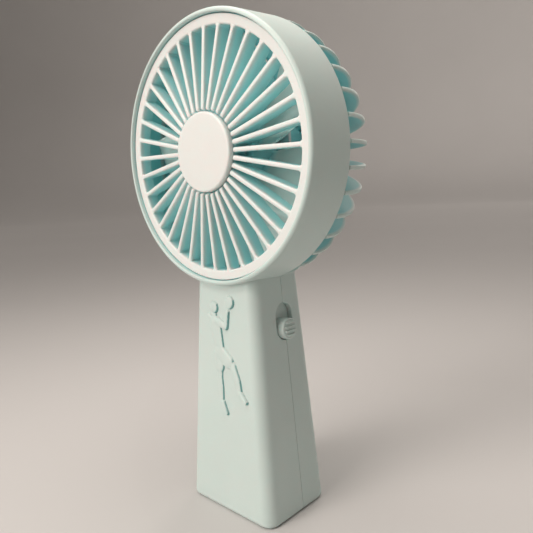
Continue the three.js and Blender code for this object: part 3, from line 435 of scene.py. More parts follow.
# plated or turned metal with fine tool marks and dulled patches
def brightMetal(name, colour, dull, roughness, stretch=(1, 1, 1)):
    recipe = Recipe(name, Metallic=1.0)
    marks = recipe.noise(700, 2, 0.5, stretch)
    patches = recipe.noise(120, 4, 0.6)
    tone = recipe.blend(patches, dull, colour)
    shine = roughness + (patches - 0.5) * 0.2 + (marks - 0.5) * 0.1
    return recipe.done(Base_Color=tone, Roughness=shine, Normal=recipe.bumps((marks, 0.2, 0.02)))


# printed board: green mask over copper runs, pale legend left off
def boardLook(name):
    recipe = Recipe(name, Coat_Weight=0.3, Coat_Roughness=0.15)
    at = recipe.node("ShaderNodeTexCoord", output="Object")
    values = {"Vector": at, "Scale": 420.0, "Mortar Size": 0.12, "Bias": 0.2}
    runs = recipe.node("ShaderNodeTexBrick", {}, values, "Fac")
    weave = recipe.noise(1500, 2, 0.5)
    tone = recipe.blend(runs, (0.02, 0.12, 0.05), (0.035, 0.2, 0.085))
    shine = 0.35 + (weave - 0.5) * 0.2
    normal = recipe.bumps((runs, 0.3, 0.05), (weave, 0.1, 0.02))
    return recipe.done(Base_Color=tone, Roughness=shine, Normal=normal)


# matt or glossy dark parts that differ only in colour, tooth and shine
def plainLook(name, colour, second, roughness, scale, strength):
    recipe = Recipe(name)
    coarse = recipe.noise(scale / 8, 3, 0.55)
    fine = recipe.noise(scale, 3, 0.6)
    tone = recipe.blend(coarse, colour, second)
    shine = roughness + (fine - 0.5) * 0.2
    return recipe.done(Base_Color=tone, Roughness=shine, Normal=recipe.bumps((fine, strength, 0.04)))


def clearLook(name):
    recipe = Recipe(name, Transmission_Weight=0.85, IOR=1.49)
    haze = recipe.noise(800, 2, 0.5)
    return recipe.done(Base_Color=recipe.blend(haze, (0.85, 0.9, 0.88), (0.95, 0.97, 0.96)),
                       Roughness=0.18 + (haze - 0.5) * 0.12, Normal=recipe.bumps((haze, 0.1, 0.02)))


steel = brightMetal("platedSteel", (0.62, 0.62, 0.6), (0.5, 0.5, 0.49), 0.3)
slotFinish = {
    "steel": steel,
    "laminations": brightMetal("stackedIron", (0.36, 0.35, 0.34), (0.25, 0.25, 0.25), 0.45, (1, 8, 1)),
    "ferrite": plainLook("ferrite", (0.035, 0.034, 0.036), (0.06, 0.058, 0.06), 0.65, 1800, 0.4),
    "brass": brightMetal("brass", (0.78, 0.57, 0.25), (0.6, 0.42, 0.18), 0.3),
    "bronze": brightMetal("sinteredBronze", (0.5, 0.32, 0.18), (0.4, 0.25, 0.14), 0.5),
    "black_plastic": plainLook("blackPlastic", (0.018, 0.018, 0.02), (0.03, 0.03, 0.032), 0.45, 2000, 0.25),
    "white_plastic": plainLook("whitePlastic", (0.72, 0.71, 0.68), (0.8, 0.79, 0.76), 0.4, 1800, 0.2),
    "red_plastic": plainLook("redPlastic", (0.5, 0.03, 0.025), (0.62, 0.05, 0.035), 0.4, 1800, 0.2),
    "board": boardLook("circuitBoard"),
    "cell_sleeve": plainLook("cellSleeve", (0.05, 0.2, 0.36), (0.07, 0.26, 0.44), 0.28, 900, 0.12),
    "foam": plainLook("foam", (0.05, 0.05, 0.052), (0.09, 0.09, 0.09), 0.9, 1200, 0.9),
    "clear_plastic": clearLook("clearLens"),
    "shell_plastic": shellPlastic,
    "grille_plastic": grillePlastic,
    "impeller_plastic": impellerPlastic,
}
for entry in frame["record"]["materials"]:
    for node in entry.get("nodes", []):
        frame["nodes"][node].data.materials.clear()
        frame["nodes"][node].data.materials.append(slotFinish[entry["slot"]])
print("materials mixed:", len(bpy.data.materials))


# the grip: a tapered upright box with round corners and a rounded foot
grip = {
    "baseWidth": 47.0, "topWidth": 33.4, "frontTaper": 4.05, "rearTaper": 3.15,
    "corner": 5.0, "footRound": 2.0, "wall": 2.0, "intoDrum": 4.6,
}


def gripSides(z, inset):
    share = z / neckZ
    half = (grip["baseWidth"] - (grip["baseWidth"] - grip["topWidth"]) * share) / 2 - inset
    front = rimY + grip["frontTaper"] * share + inset
    rear = -rimY - grip["rearTaper"] * share - inset
    return half, front, rear


def gripRing(z, inset=0.0, steps=12):
    half, front, rear = gripSides(z, inset)
    r = max(grip["corner"] - inset, 0.6)
    corners = [(-half, front, r), (half, front, r), (half, rear, r), (-half, rear, r)]
    return [(x, y, z) for x, y in softened(corners, steps)]


def gripSolid():
    foot = grip["footRound"]
    rings = []
    for k in range(7):
        a = math.pi / 2 * (6 - k) / 6
        rings.append(gripRing(foot * (1 - math.sin(a)), foot * (1 - math.cos(a))))
    levels = 9
    rings += [gripRing(foot + (neckZ + grip["intoDrum"] - foot) * k / levels) for k in range(1, levels + 1)]
    return lofted(rings)


def gripHollow():
    wall = grip["wall"]
    return lofted([gripRing(wall, wall), gripRing(neckZ + grip["intoDrum"] + 1, wall)])


def headDisc(radius):
    return rod(radius, 0, axisZ, rimY - 5, backY + 5, 160)


far = 150  # past every piece


def frontHalf():
    return slab((-far, -far, -10), (far, partingY - seam, 2 * far))


def rearHalf():
    return slab((-far, partingY + seam, -10), (far, far, 2 * far))


# the switch side: its own frame leans with the wall, u runs back, v up the wall, t outwards
slope = math.asin(-joints["switch_slide"]["axis"][0])
slot = {
    "length": 14.6, "width": 9.2, "aboveCell": 6.6, "lip": 0.45, "deep": 3.5,
    "knobLength": 8.2, "knobWidth": 8.4, "proud": 3.1, "endGap": 0.4,
}
slotZ = cellHigh.z + slot["aboveCell"]
travel = slot["length"] - slot["knobLength"] - 2 * slot["endGap"]
slotX = gripSides(slotZ, 0)[0]


def onSide(u, v, t):
    x = slotX + t * math.cos(slope) - v * math.sin(slope)
    return (x, partingY + u, slotZ + t * math.sin(slope) + v * math.cos(slope))


def slotCutter():
    def shapeAt(inset):
        radius = slot["width"] / 2 - 0.01
        return roundRect(slot["width"], slot["length"], radius, inset, 12)

    lip = slot["lip"]
    rings = [[onSide(u, v, -slot["deep"]) for u, v in shapeAt(0)]]
    for k in range(7):  # the mouth rounds over outwards
        a = math.pi / 2 * k / 6
        t, flare = -lip + lip * math.sin(a), lip * (1 - math.cos(a))
        rings.append([onSide(u, v, t) for u, v in shapeAt(-flare)])
    rings.append([onSide(u, v, 2) for u, v in shapeAt(-lip)])
    return lofted(rings)


# screws from behind: two low beside the cell, one high at the middle
screwNodes = ("shell_screw_lower_left", "shell_screw_lower_right", "shell_screw_top")
screwPlaces = [(node, *middleOf(node)) for node in screwNodes]
screw = {
    "head": 2.4, "headHeight": 1.8, "shank": 1.1, "reach": 9.0, "cross": 0.6,
    "bossWall": 1.2, "bossEnd": 30, "room": 0.3, "pilotRoom": 0.15, "mouth": 0.35,
}
screwSeatY = partingY + seam + grip["wall"]
pilotRadius = screw["shank"] + screw["pilotRoom"]

# the front shell's drum
drum = {
    "frontRadius": 50.0, "lipWidth": 1.7, "lipOuterRound": 1.3, "lipInnerRound": 0.5,
    "rearRound": 0.45, "ledgeDepth": 3.9, "ledgeWidth": 1.6, "ledgeThickness": 2.2, "wall": 2.0,
}


def drumDisc():
    return turned(softened([
        (0, rimY, 0), (drum["frontRadius"], rimY, drum["lipOuterRound"]),
        (drumRadius, partingY - seam, drum["rearRound"]), (0, partingY - seam, 0)], 8), 216)


def drumBore():
    inner, soft = drum["frontRadius"] - drum["lipWidth"], drum["lipInnerRound"]
    mouth = []
    for k in range(7):
        a = math.radians(-90 - 90 * k / 6)
        mouth.append((inner + soft + soft * math.cos(a), rimY + soft + soft * math.sin(a)))
    ledgeY, ledgeR = rimY + drum["ledgeDepth"], inner - drum["ledgeWidth"]
    duct = drum["frontRadius"] - drum["wall"]
    return turned([
        (0, rimY - 1), (mouth[0][0], rimY - 1), *mouth, (inner, ledgeY), (ledgeR, ledgeY),
        (ledgeR, ledgeY + drum["ledgeThickness"]), (duct, ledgeY + drum["ledgeThickness"] + 1.5),
        (drumRadius - drum["wall"], partingY + 1), (0, partingY + 1)], 216)


# a raised figure of a leaping player, every limb a tapering round: x0, z0, x1, z1, r0, r1, height
player = {
    "height": 1.1, "sunk": 0.3, "cell": 0.24, "edge": 0.4,
    "limbs": [
        (-4.3, 77.0, -2.0, 68.5, 3.3, 2.3, 0.84),  # trunk
        (-4.6, 78.0, -3.0, 77.6, 2.7, 2.4, 0.9),  # shoulders
        (-2.0, 67.2, -1.9, 66.2, 2.6, 2.7, 0.8),  # hips
        (-1.8, 66.0, 5.0, 61.4, 2.6, 1.9, 0.78),  # raised thigh
        (-1.8, 66.0, 2.8, 62.9, 3.2, 2.8, 1.0),  # its shorts
        (5.2, 61.2, 7.6, 56.0, 1.8, 1.7, 0.84),  # raised calf
        (7.6, 56.0, 9.2, 51.8, 1.7, 1.0, 0.84),  # and ankle
        (9.2, 51.4, 12.2, 48.6, 1.4, 0.9, 1.0),  # raised foot
        (-2.4, 65.4, -2.4, 56.4, 2.3, 1.6, 0.62),  # straight thigh
        (-2.4, 65.6, -2.4, 60.4, 2.9, 2.6, 0.84),  # its shorts
        (-2.4, 56.2, -1.8, 51.0, 1.6, 1.5, 0.68),  # straight calf
        (-1.8, 51.0, -1.2, 46.4, 1.5, 0.9, 0.68),  # and ankle
        (-1.0, 45.8, 1.4, 41.8, 1.3, 0.8, 0.9),  # pointed foot
        (-3.4, 78.6, 1.8, 76.8, 1.7, 1.35, 1.0),  # upper arm
        (1.9, 77.0, 3.0, 82.6, 1.35, 0.95, 0.9),  # forearm
        (-5.6, 78.2, -9.6, 80.8, 1.6, 1.0, 0.66),  # far arm
        (-4.7, 80.8, -4.7, 80.6, 1.2, 1.2, 0.6),  # neck
        (-4.8, 83.9, -4.6, 83.6, 2.3, 2.1, 0.95),  # head
        (4.0, 86.6, 4.0, 86.61, 2.6, 2.6, 1.0),  # ball
    ],
}


def figureHeight(x, z):
    best = -player["sunk"]
    for x0, z0, x1, z1, r0, r1, share in player["limbs"]:
        run = (x1 - x0) ** 2 + (z1 - z0) ** 2
        t = min(max(((x - x0) * (x1 - x0) + (z - z0) * (z1 - z0)) / run, 0), 1)
        inside = r0 + (r1 - r0) * t - math.hypot(x - x0 - (x1 - x0) * t, z - z0 - (z1 - z0) * t)
        if inside > -player["cell"] * 2:
            step, swell = (1 - min(max(inside / edge, 0), 1) for edge in (player["edge"], r0 + (r1 - r0) * t))
            dome = 0.45 * math.sqrt(1 - step * step) + 0.55 * math.sqrt(1 - swell * swell)
            best = max(best, player["height"] * share * dome if inside > 0 else inside)
    return best


def figureShape():
    step = player["cell"]
    xs = [min(l[0] - l[4] for l in player["limbs"]) - 1, max(l[2] + l[4] for l in player["limbs"]) + 1]
    zs = [min(l[3] - l[5] for l in player["limbs"]) - 1, max(l[3] + l[5] for l in player["limbs"]) + 1]
    columns, rows = int((xs[1] - xs[0]) / step), int((zs[1] - zs[0]) / step)
    heights = [[figureHeight(xs[0] + i * step, zs[0] + j * step) for j in range(rows + 1)]
               for i in range(columns + 1)]
    cells = set()
    for i in range(1, columns - 1):
        for j in range(1, rows - 1):
            near = [heights[a][b] for a in (i - 1, i, i + 1, i + 2) for b in (j - 1, j, j + 1, j + 2)]
            if max(near) > -player["sunk"] + 0.01:
                cells.add((i, j))
    points, faces, index = [], [], {}

    def corner(i, j, top):
        if (i, j, top) not in index:
            x, z = xs[0] + i * step, zs[0] + j * step
            front = rimY + grip["frontTaper"] * z / neckZ
            index[(i, j, top)] = len(points)
            points.append((x, front - heights[i][j] if top else front + 1.0, z))
        return index[(i, j, top)]

    for i, j in sorted(cells):
        square = [(i, j), (i + 1, j), (i + 1, j + 1), (i, j + 1)]
        faces.append(tuple(corner(a, b, True) for a, b in square))
        faces.append(tuple(corner(a, b, False) for a, b in reversed(square)))
        beside = [(i, j - 1), (i + 1, j), (i, j + 1), (i - 1, j)]
        for k, other in enumerate(beside):
            if other not in cells:
                (a, b), (c, d) = square[k], square[(k + 1) % 4]
                wall = ((c, d, True), (a, b, True), (a, b, False), (c, d, False))
                faces.append(tuple(corner(*end) for end in wall))
    return points, faces


def buildFrontShell():
    room = carve(solid("room", gripHollow()), ("DIFFERENCE", headDisc(drum["frontRadius"])))
    bossRadius, tipY = pilotRadius + screw["bossWall"], screwSeatY - screw["reach"]
    bossRods = merged([rod(bossRadius, x, z, rimY + 1, partingY - seam) for _, x, z in screwPlaces])
    bosses = carve(solid("bosses", bossRods), ("INTERSECT", gripSolid()))
    holes = merged([rod(pilotRadius, x, z, tipY - 1, partingY + 1) for _, x, z in screwPlaces])
    shell = carve(
        solid("frontShell", gripSolid()),
        ("INTERSECT", frontHalf()), ("UNION", drumDisc()), ("DIFFERENCE", room), ("UNION", bosses),
        ("UNION", figureShape()), ("DIFFERENCE", drumBore()), ("DIFFERENCE", slotCutter()),
        ("DIFFERENCE", holes))
    return finished(shell, "housing", "front_shell", shellPlastic)


buildFrontShell()

# the guard behind: a ring that nests in the drum, curved fins on edge, and a cup that holds the motor
guard = {
    "fins": 36, "thickness": 1.5, "backThickness": 1.2, "depth": 6.5, "shoulderRadius": 25.0, "edge": 0.45,
    "straight": 2.1, "ringWidth": 3.0, "ringFront": 3.0, "ringRear": 2.8, "hubRadius": 15.5, "hubFloor": 2.0,
    "cupWall": 1.6, "play": 0.3, "startGap": 0.4, "nest": 0.15, "roofInside": 1.0, "crown": 0.7,
}
motorLow, motorHigh = boxOf("motor_can")
cupInner = motorHigh.x + guard["play"]
cupOuter = cupInner + guard["cupWall"]
shoulderY = partingY + guard["straight"]
guardRadius = drumRadius - drum["wall"] - guard["play"] - guard["nest"]
roofRadius = guardRadius - guard["roofInside"]


def finPath():
    centre, outer = drumRadius - guard["shoulderRadius"], guard["shoulderRadius"]
    inner, height = outer - guard["depth"], backY - shoulderY
    path = [((drumRadius, y), (centre + inner, y)) for y in (partingY + guard["startGap"], shoulderY)]
    for k in range(1, 21):
        a = math.pi / 2 * k / 20
        path.append((
            (centre + outer * math.cos(a), shoulderY + height * math.sin(a)),
            (centre + inner * math.cos(a), shoulderY + (height - guard["depth"]) * math.sin(a))))
    path.append(((cupOuter - 0.8, backY), (cupOuter - 0.8, backY - guard["depth"])))
    return path


def guardFin(angle):
    c, s = math.cos(angle), math.sin(angle)
    rings = []
    for outer, inner in finPath():
        outer, inner = Vector(outer), Vector(inner)
        depth = (outer - inner).length
        along = (outer - inner) / depth
        front, back, soft = guard["thickness"] / 2, guard["backThickness"] / 2, guard["edge"]
        section = softened([
            (0, -back, soft), (depth, -front, soft), (depth, front, soft), (0, back, soft)], 4)
        ring = []
        for u, w in section:
            r, y = inner + along * u
            ring.append((r * c - w * s, y, axisZ + r * s + w * c))
        rings.append(ring)
    return lofted(rings)


def guardHub():
    radius, floorY = guard["hubRadius"], backY - guard["hubFloor"]
    return turned(softened([
        (0, backY, 0), (radius, backY, guard["crown"]), (radius, floorY, 0.3), (cupOuter, floorY, 0),
        (cupOuter, motorLow.y, 0.4), (cupInner, motorLow.y, 0.3), (cupInner, floorY, 0), (0, floorY, 0)], 6), 128)


# a stepped bore with a softened mouth, cut from behind
def steppedBore(x, z, faceY, head, shank):
    soft = screw["mouth"]
    mouth = [(head + soft * (1 - math.cos(a)), faceY - soft + soft * math.sin(a))
             for a in [math.pi / 2 * k / 4 for k in range(5)]]
    return turned([(0, partingY - 1), (shank, partingY - 1), (shank, screwSeatY), (head, screwSeatY), *mouth,
                   (mouth[-1][0], faceY + 12), (0, faceY + 12)], 40, x, z)


socketLow, socketHigh = boxOf("usb_socket")
lensLow, lensHigh = boxOf("indicator_lens")
socketZ, lensZ = (socketLow.z + socketHigh.z) / 2, (lensLow.z + lensHigh.z) / 2
boardHigh = boxOf("circuit_board")[1]
fittings = {
    "socketRoom": 0.6, "socketCorner": 1.4, "socketMouth": 0.4, "socketWall": 0.35,
    "windowRoom": 0.3, "windowCrown": 0.35,
    "post": 2.0, "holder": 2.45, "holderPilot": 1.05, "holderDepth": 1.5,
    "leadPassage": 1.6, "leadsApart": 5.3, "leadsBehind": 6.0, "notchHalf": 6.5, "notchFrom": 9.0,
}


def socketMouth():
    room, soft = fittings["socketRoom"], fittings["socketMouth"]
    width, height = socketHigh.x - socketLow.x + room, socketHigh.z - socketLow.z + room
    faceY = gripSides(socketZ, 0)[2]

    def shapeAt(inset):
        return [(u, v + socketZ) for u, v in roundRect(width, height, fittings["socketCorner"], inset)]

    rings = [[alongY(u, v, boardHigh.y) for u, v in shapeAt(0)]]
    for k in range(6):
        a = math.pi / 2 * k / 5
        y, flare = faceY - soft + soft * math.sin(a), soft * (1 - math.cos(a))
        rings.append([alongY(u, v, y) for u, v in shapeAt(-flare)])
    rings.append([alongY(u, v, faceY + 8) for u, v in shapeAt(-soft)])
    return lofted(rings)


def buildRearShell():
    roof = headDisc(roofRadius)
    room = carve(solid("room", gripHollow()), ("DIFFERENCE", headDisc(drumRadius)))
    headRoom, floorY = screw["head"] + screw["room"], backY - guard["hubFloor"]
    posts = [rod(fittings["post"], *middleOf(node), boardHigh.y + 0.2, gripSides(boxOf(node)[1].z, 1)[2])
             for node in ("board_screw_left", "board_screw_right")]
    bossRadius = headRoom + screw["bossWall"]
    bossRods = merged([rod(bossRadius, x, z, partingY + seam, screw["bossEnd"]) for _, x, z in screwPlaces])
    bosses = carve(solid("bosses", bossRods), ("INTERSECT", gripSolid()))
    ring = turned(softened([
        (guardRadius, partingY - guard["ringFront"], 0.4), (guardRadius, partingY + guard["ringRear"], 0.2),
        (guardRadius - guard["ringWidth"], partingY + guard["ringRear"], 0.3),
        (guardRadius - guard["ringWidth"], partingY - guard["ringFront"], 0.5)], 4), 216)
    fins = merged([guardFin(2 * math.pi * i / guard["fins"]) for i in range(guard["fins"])])
    holders = [(middleOf(node)[0], boxOf(node)[1].y) for node in ("retainer_screw_left", "retainer_screw_right")]
    retainerY = boxOf("motor_retainer")[1].y + 0.2
    holderRods = merged([rod(fittings["holder"], x, axisZ, retainerY, backY - 1) for x, _ in holders])
    lead, leadY, passages = fittings["leadPassage"], partingY + fittings["leadsBehind"], []
    for leadX in (-fittings["leadsApart"], fittings["leadsApart"]):
        circle = [(leadX + lead * math.cos(a), leadY + lead * math.sin(a))
                  for a in [2 * math.pi * k / 24 for k in range(24)]]
        passages.append(lofted([[(x, y, z) for x, y in circle] for z in (neckZ - 2, axisZ - roofRadius + 1)]))
    notch = slab((-fittings["notchHalf"], motorLow.y + fittings["notchFrom"], axisZ - cupOuter - 0.4),
                 (fittings["notchHalf"], floorY, axisZ - cupInner + 2))
    bores = merged([steppedBore(x, z, gripSides(z, 0)[2], headRoom, pilotRadius) for _, x, z in screwPlaces])
    pins = [rod(fittings["holderPilot"], x, axisZ, retainerY - 2, y + fittings["holderDepth"]) for x, y in holders]
    pins.append(rod(lensHigh.x + fittings["windowRoom"], 0, lensZ, boardHigh.y, backY + 10))
    shell = carve(
        solid("rearShell", gripSolid()),
        ("INTERSECT", rearHalf()), ("DIFFERENCE", roof), ("DIFFERENCE", room), ("UNION", bosses),
        ("UNION", merged(posts)), ("UNION", ring), ("UNION", fins), ("UNION", guardHub()),
        ("UNION", holderRods), ("DIFFERENCE", rod(cupInner, 0, axisZ, motorLow.y - 1, floorY, 128)),
        ("DIFFERENCE", notch), ("DIFFERENCE", merged(passages)), ("DIFFERENCE", slotCutter()),
        ("DIFFERENCE", bores), ("DIFFERENCE", socketMouth()), ("DIFFERENCE", merged(pins)))
    return finished(shell, "housing", "rear_shell", guardPlastic)


buildRearShell()

# the front grille: a flat ring, thin ribs that dip behind the cap, and a skirted hub
grille = {
    "ribs": 36, "thickness": 1.7, "backThickness": 1.3, "twist": -1.2, "ringWidth": 3.6, "ringThickness": 2.1,
    "recess": 1.6, "soft": 0.6, "fillet": 1.0, "filletMost": 0.42, "hubBack": 7.0, "hubFront": 1.0,
    "skirt": 2.0, "ringSkirt": 1.4, "peg": 5.3,
    "crest": -0.9, "dip": 1.3, "riseFrom": 0.9, "riseOver": 1.1, "slopeFrom": 1.5, "ringLap": 1.4,
}
ringOuter = grilleHigh.x
ringInner = ringOuter - grille["ringWidth"]
grilleY = rimY + grille["recess"]
hubRadius = capHigh.x - 0.6


def ribFront(r):
    share = min(max((r - (hubRadius + grille["riseFrom"])) / grille["riseOver"], 0), 1)
    share = math.sqrt(1 - (1 - share) ** 2)
    outward = max(r - hubRadius - grille["slopeFrom"], 0) / (ringInner - hubRadius - grille["slopeFrom"])
    crest = grille["crest"] + (grille["recess"] + 0.05 - grille["crest"]) * outward
    return rimY + grille["dip"] + (crest - grille["dip"]) * share


def ribSpread(r):
    fillet, spread = grille["fillet"], 0.0
    for gap in (ringInner - r, r - hubRadius):
        gap = max(gap, 0)
        if gap < fillet:
            spread = max(spread, fillet - math.sqrt(fillet ** 2 - (fillet - gap) ** 2))
    return min(spread, grille["filletMost"])


def grilleRib(angle):
    c, s = math.cos(angle), math.sin(angle)
    rise, over, outer = hubRadius + grille["riseFrom"], grille["riseOver"], ringInner - grille["ringLap"]
    stops = [hubRadius - 0.6, hubRadius + 0.3, hubRadius + 0.88]
    stops += [rise + over * (1 - math.cos(math.pi / 2 * k / 8)) for k in range(1, 9)]
    stops += [stops[-1] + (outer - stops[-1]) * k / 16 for k in range(1, 17)]
    stops += [outer + 0.2 * k for k in range(1, 11)]
    rings = []
    for r in stops:
        front, back, spread = ribFront(r), rimY + grille["hubBack"] - 0.1, ribSpread(r)
        near, rear = grille["thickness"] / 2 + spread, grille["backThickness"] / 2 + spread
        section = softened([(near, front, grille["soft"]), (rear, back, 0.2), (-rear, back, 0.2),
                            (-near, front, grille["soft"])], 4)
        rings.append([(r * c - w * s, y, axisZ + r * s + w * c) for w, y in section])
    return lofted(rings)


def buildGrille():
    front, back, skirtOuter = grilleY, grilleY + grille["ringThickness"], ringInner + grille["ringSkirt"]
    hubFront, hubBack, skirt = rimY + grille["hubFront"], rimY + grille["hubBack"], grille["skirt"]
    ring = turned(softened([
        (ringOuter, front, 0.35), (ringOuter, back, 0.25), (skirtOuter, back, 0.2), (skirtOuter, hubBack, 0.3),
        (ringInner, hubBack, 0.3), (ringInner, front, 0.7)], 5), 216)
    bore, skirtInner, floorY = grille["peg"], hubRadius - skirt, hubFront + 2
    hub = turned(softened([
        (bore, hubFront, 0.2), (hubRadius, hubFront, 0.7), (hubRadius, hubBack, 0.4),
        (skirtInner, hubBack, 0.4), (skirtInner, floorY, 0.4), (bore, floorY, 0.2)], 5), 128)
    twist = math.radians(grille["twist"])
    ribs = merged([grilleRib(twist + 2 * math.pi * i / grille["ribs"]) for i in range(grille["ribs"])])
    piece = carve(solid("frontGrille", ring), ("UNION", ribs), ("UNION", hub))
    return finished(piece, "housing", "front_grille", grillePlastic)


buildGrille()

cap = {"thickness": 2.6, "edge": 0.85, "crown": 0.12, "peg": 5.0}


def buildCap():
    front, back, radius, edge = capLow.y, capLow.y + cap["thickness"], capHigh.x, cap["edge"]
    face = [((radius - edge) * k / 8, front + cap["crown"] * (k / 8) ** 2) for k in range(8)]
    rim = []
    for k in range(9):
        a = math.radians(-90 + 90 * k / 8)
        rim.append((radius - edge + edge * math.cos(a), front + cap["crown"] + edge + edge * math.sin(a)))
    shape = turned([*face, *rim, (radius, back - 0.3), (radius - 0.3, back), (cap["peg"], back),
                    (cap["peg"], capHigh.y - 0.4), (cap["peg"] - 0.4, capHigh.y), (0, capHigh.y)], 144)
    return finished(solid("grilleCap", shape), "housing", "grille_centre_cap", capPlastic)


buildCap()

# the impeller: a cupped hub and seven broad blades, each a fine curved sheet with rounded edges
wheel = {
    "blades": 7, "hub": 15.2, "hubWall": 1.6, "boss": 3.2, "bossDepth": 2.4, "bossShort": 4.0,
    "rootChord": 54.0, "tipChord": 43.0, "tipRadius": 43.4, "sweep": 14.0, "phase": 22.0,
    "thickness": 1.4, "inset": 1.0, "tipRound": 0.03, "edgeRound": 0.5,
}
shaftHigh = boxOf("motor_shaft")[1]


def wheelBlade(index):
    across, along = 18, 26
    turn = 2 * math.pi * index / wheel["blades"] + math.radians(wheel["phase"])
    y0, y1 = wheelLow.y + wheel["inset"], wheelHigh.y - wheel["inset"]
    inner = wheel["hub"] - 0.8
    rings = []
    for i in range(across + 1):
        t = i / across
        r = inner + (wheel["tipRadius"] - inner) * t
        chord = math.radians(wheel["rootChord"] + (wheel["tipChord"] - wheel["rootChord"]) * t)
        root = 1 + 0.7 * math.exp(-max(r - wheel["hub"], 0) / 0.8)
        tip = math.sqrt(max(1 - max((t - (1 - wheel["tipRound"])) / wheel["tipRound"], 0) ** 2, 0.15))
        sides = ([], [])
        for j in range(along + 1):
            u = j / along
            u = u - 0.35 * math.sin(2 * math.pi * u) / (2 * math.pi)  # closer together at the edges
            angle = turn + math.radians(wheel["sweep"]) * t + (u - 0.5) * chord
            full = math.sin(math.pi * min(max(u, 0.1), 0.9))
            half = wheel["thickness"] / 2 * (0.55 + 0.45 * full)
            rise = u + 0.1 * math.sin(math.pi * u)
            middle = y0 + half + (y1 - y0 - 2 * half) * rise * 0.97
            near = min(u, 1 - u) * chord * r
            half *= root * tip * math.sqrt(max(1 - max(1 - near / wheel["edgeRound"], 0) ** 2, 0.04))
            for side, points in zip((-1, 1), sides):
                y = min(max(middle + side * half, wheelLow.y + 0.2), wheelHigh.y - 0.1)
                points.append((r * math.cos(angle), y, axisZ + r * math.sin(angle)))
        rings.append(sides[0] + sides[1][::-1])
    count = len(rings[0])
    points, faces = lofted(rings, closed=False)
    for start, flip in ((0, False), (len(points) - count, True)):
        for k in range(count // 2 - 1):
            quad = (start + k, start + k + 1, start + count - 2 - k, start + count - 1 - k)
            faces.append(quad[::-1] if flip else quad)
    return points, faces


def buildWheel():
    low, high, hub = wheelLow.y, wheelHigh.y, wheel["hub"]
    bore = shaftHigh.x + 0.15
    body = turned(softened([
        (0, low, 0), (hub, low, 1.7), (hub, high, 0.4), (hub - wheel["hubWall"], high, 0.4),
        (hub - wheel["hubWall"], low + 2, 0.6), (wheel["boss"], low + 2, 0.4),
        (wheel["boss"], high - wheel["bossShort"], 0.3), (bore, high - wheel["bossShort"], 0.1),
        (bore, low + wheel["bossDepth"], 0), (0, low + wheel["bossDepth"], 0)], 6), 112)
    blades = carve(
        solid("blades", merged([wheelBlade(i) for i in range(wheel["blades"])])),
        ("DIFFERENCE", rod(hub - 0.5, 0, axisZ, low - 1, high + 1, 112)))
    piece = carve(solid("impellerWheel", body), ("UNION", blades))
    return finished(piece, "rotor", "impeller", impellerPlastic)


buildWheel()

# the sliding switch: a ribbed round-ended button on a plate that runs behind the wall
knob = {
    "corner": 4.0, "plate": 1.2, "lap": 0.8, "behind": 0.3, "edge": 0.7,
    "ridges": 4, "pitch": 1.6, "ridgeWidth": 0.8, "ridgeHeight": 0.5, "ridgeEdge": 0.3,
    "prongOff": 3.1, "prongGap": 1.0, "prongHalf": 1.0, "prongReach": 2.0,
}


def buildKnob():
    rest = -travel / 2
    plateT = -grip["wall"] - knob["behind"]
    plateHalf = slot["length"] / 2 + travel / 2 + knob["lap"]
    face = slot["proud"] - knob["ridgeHeight"]

    def place(u, v, t):
        return onSide(u, v + rest, t)

    def button(inset):
        return roundRect(slot["knobWidth"], slot["knobLength"], knob["corner"], inset, 12)

    body = pillowed(button, plateT - 0.2, face, 0, knob["edge"], place, 7)
    plate = pillowed(lambda inset: roundRect(slot["width"] + 2, 2 * plateHalf, 1.0, inset),
                     plateT - knob["plate"], plateT, 0.25, 0.25, place, 3)
    steps = [(i - (knob["ridges"] - 1) / 2) * knob["pitch"] for i in range(knob["ridges"])]
    ridges = []
    for v in steps:
        reach = math.sqrt((slot["knobLength"] / 2 - 0.5) ** 2 - v * v) - 0.5

        def bar(inset, v=v, reach=reach):
            outline = roundRect(2 * reach, knob["ridgeWidth"], knob["ridgeWidth"] / 2 - 0.02, inset)
            return [(u, v + w) for u, w in outline]

        ridges.append(pillowed(bar, face - 0.3, slot["proud"], 0, knob["ridgeEdge"], place, 5))
    half, root, prongs = knob["prongHalf"], plateT - knob["plate"], []
    u0, u1, ends = knob["prongOff"] - half, knob["prongOff"] + half, (root - knob["prongReach"], root + 0.2)
    for v0 in (knob["prongGap"], -knob["prongGap"] - half):
        corners = [(u0, v0), (u1, v0), (u1, v0 + half), (u0, v0 + half)]
        prongs.append(lofted([[place(u, v, t) for u, v in corners] for t in ends]))
    piece = carve(solid("switchKnob", body), ("UNION", plate), ("UNION", merged(ridges)),
                  ("UNION", merged(prongs)))
    return finished(piece, "slider", "switch_knob", knobPlastic)


buildKnob()


# pan-head screws seen down their bores, the charging socket and the indicator window
def buildScrew(node, x, z):
    low, high = boxOf(node)
    head, shank = screw["head"], screw["shank"]
    seatY, tipY = high.y - screw["headHeight"], low.y
    outline = softened([
        (0, high.y, 0), (head * 0.8, high.y, 0.5), (head, high.y - 0.7, 0.3), (head, seatY, 0.15),
        (shank, seatY, 0), (shank, tipY + 1, 0), (0, tipY, 0)], 4)
    wing, cross, deep = head * 0.6, screw["cross"] / 2, high.y - screw["headHeight"] / 2
    bars = [slab((x - a, deep, z - b), (x + a, high.y + 1, z + b)) for a, b in ((wing, cross), (cross, wing))]
    piece = carve(solid(node.replace("shell_screw", "screw"), turned(outline, 40, x, z)),
                  *[("DIFFERENCE", bar) for bar in bars])
    return finished(piece, "housing", node, steel)


for place in screwPlaces:
    buildScrew(*place)


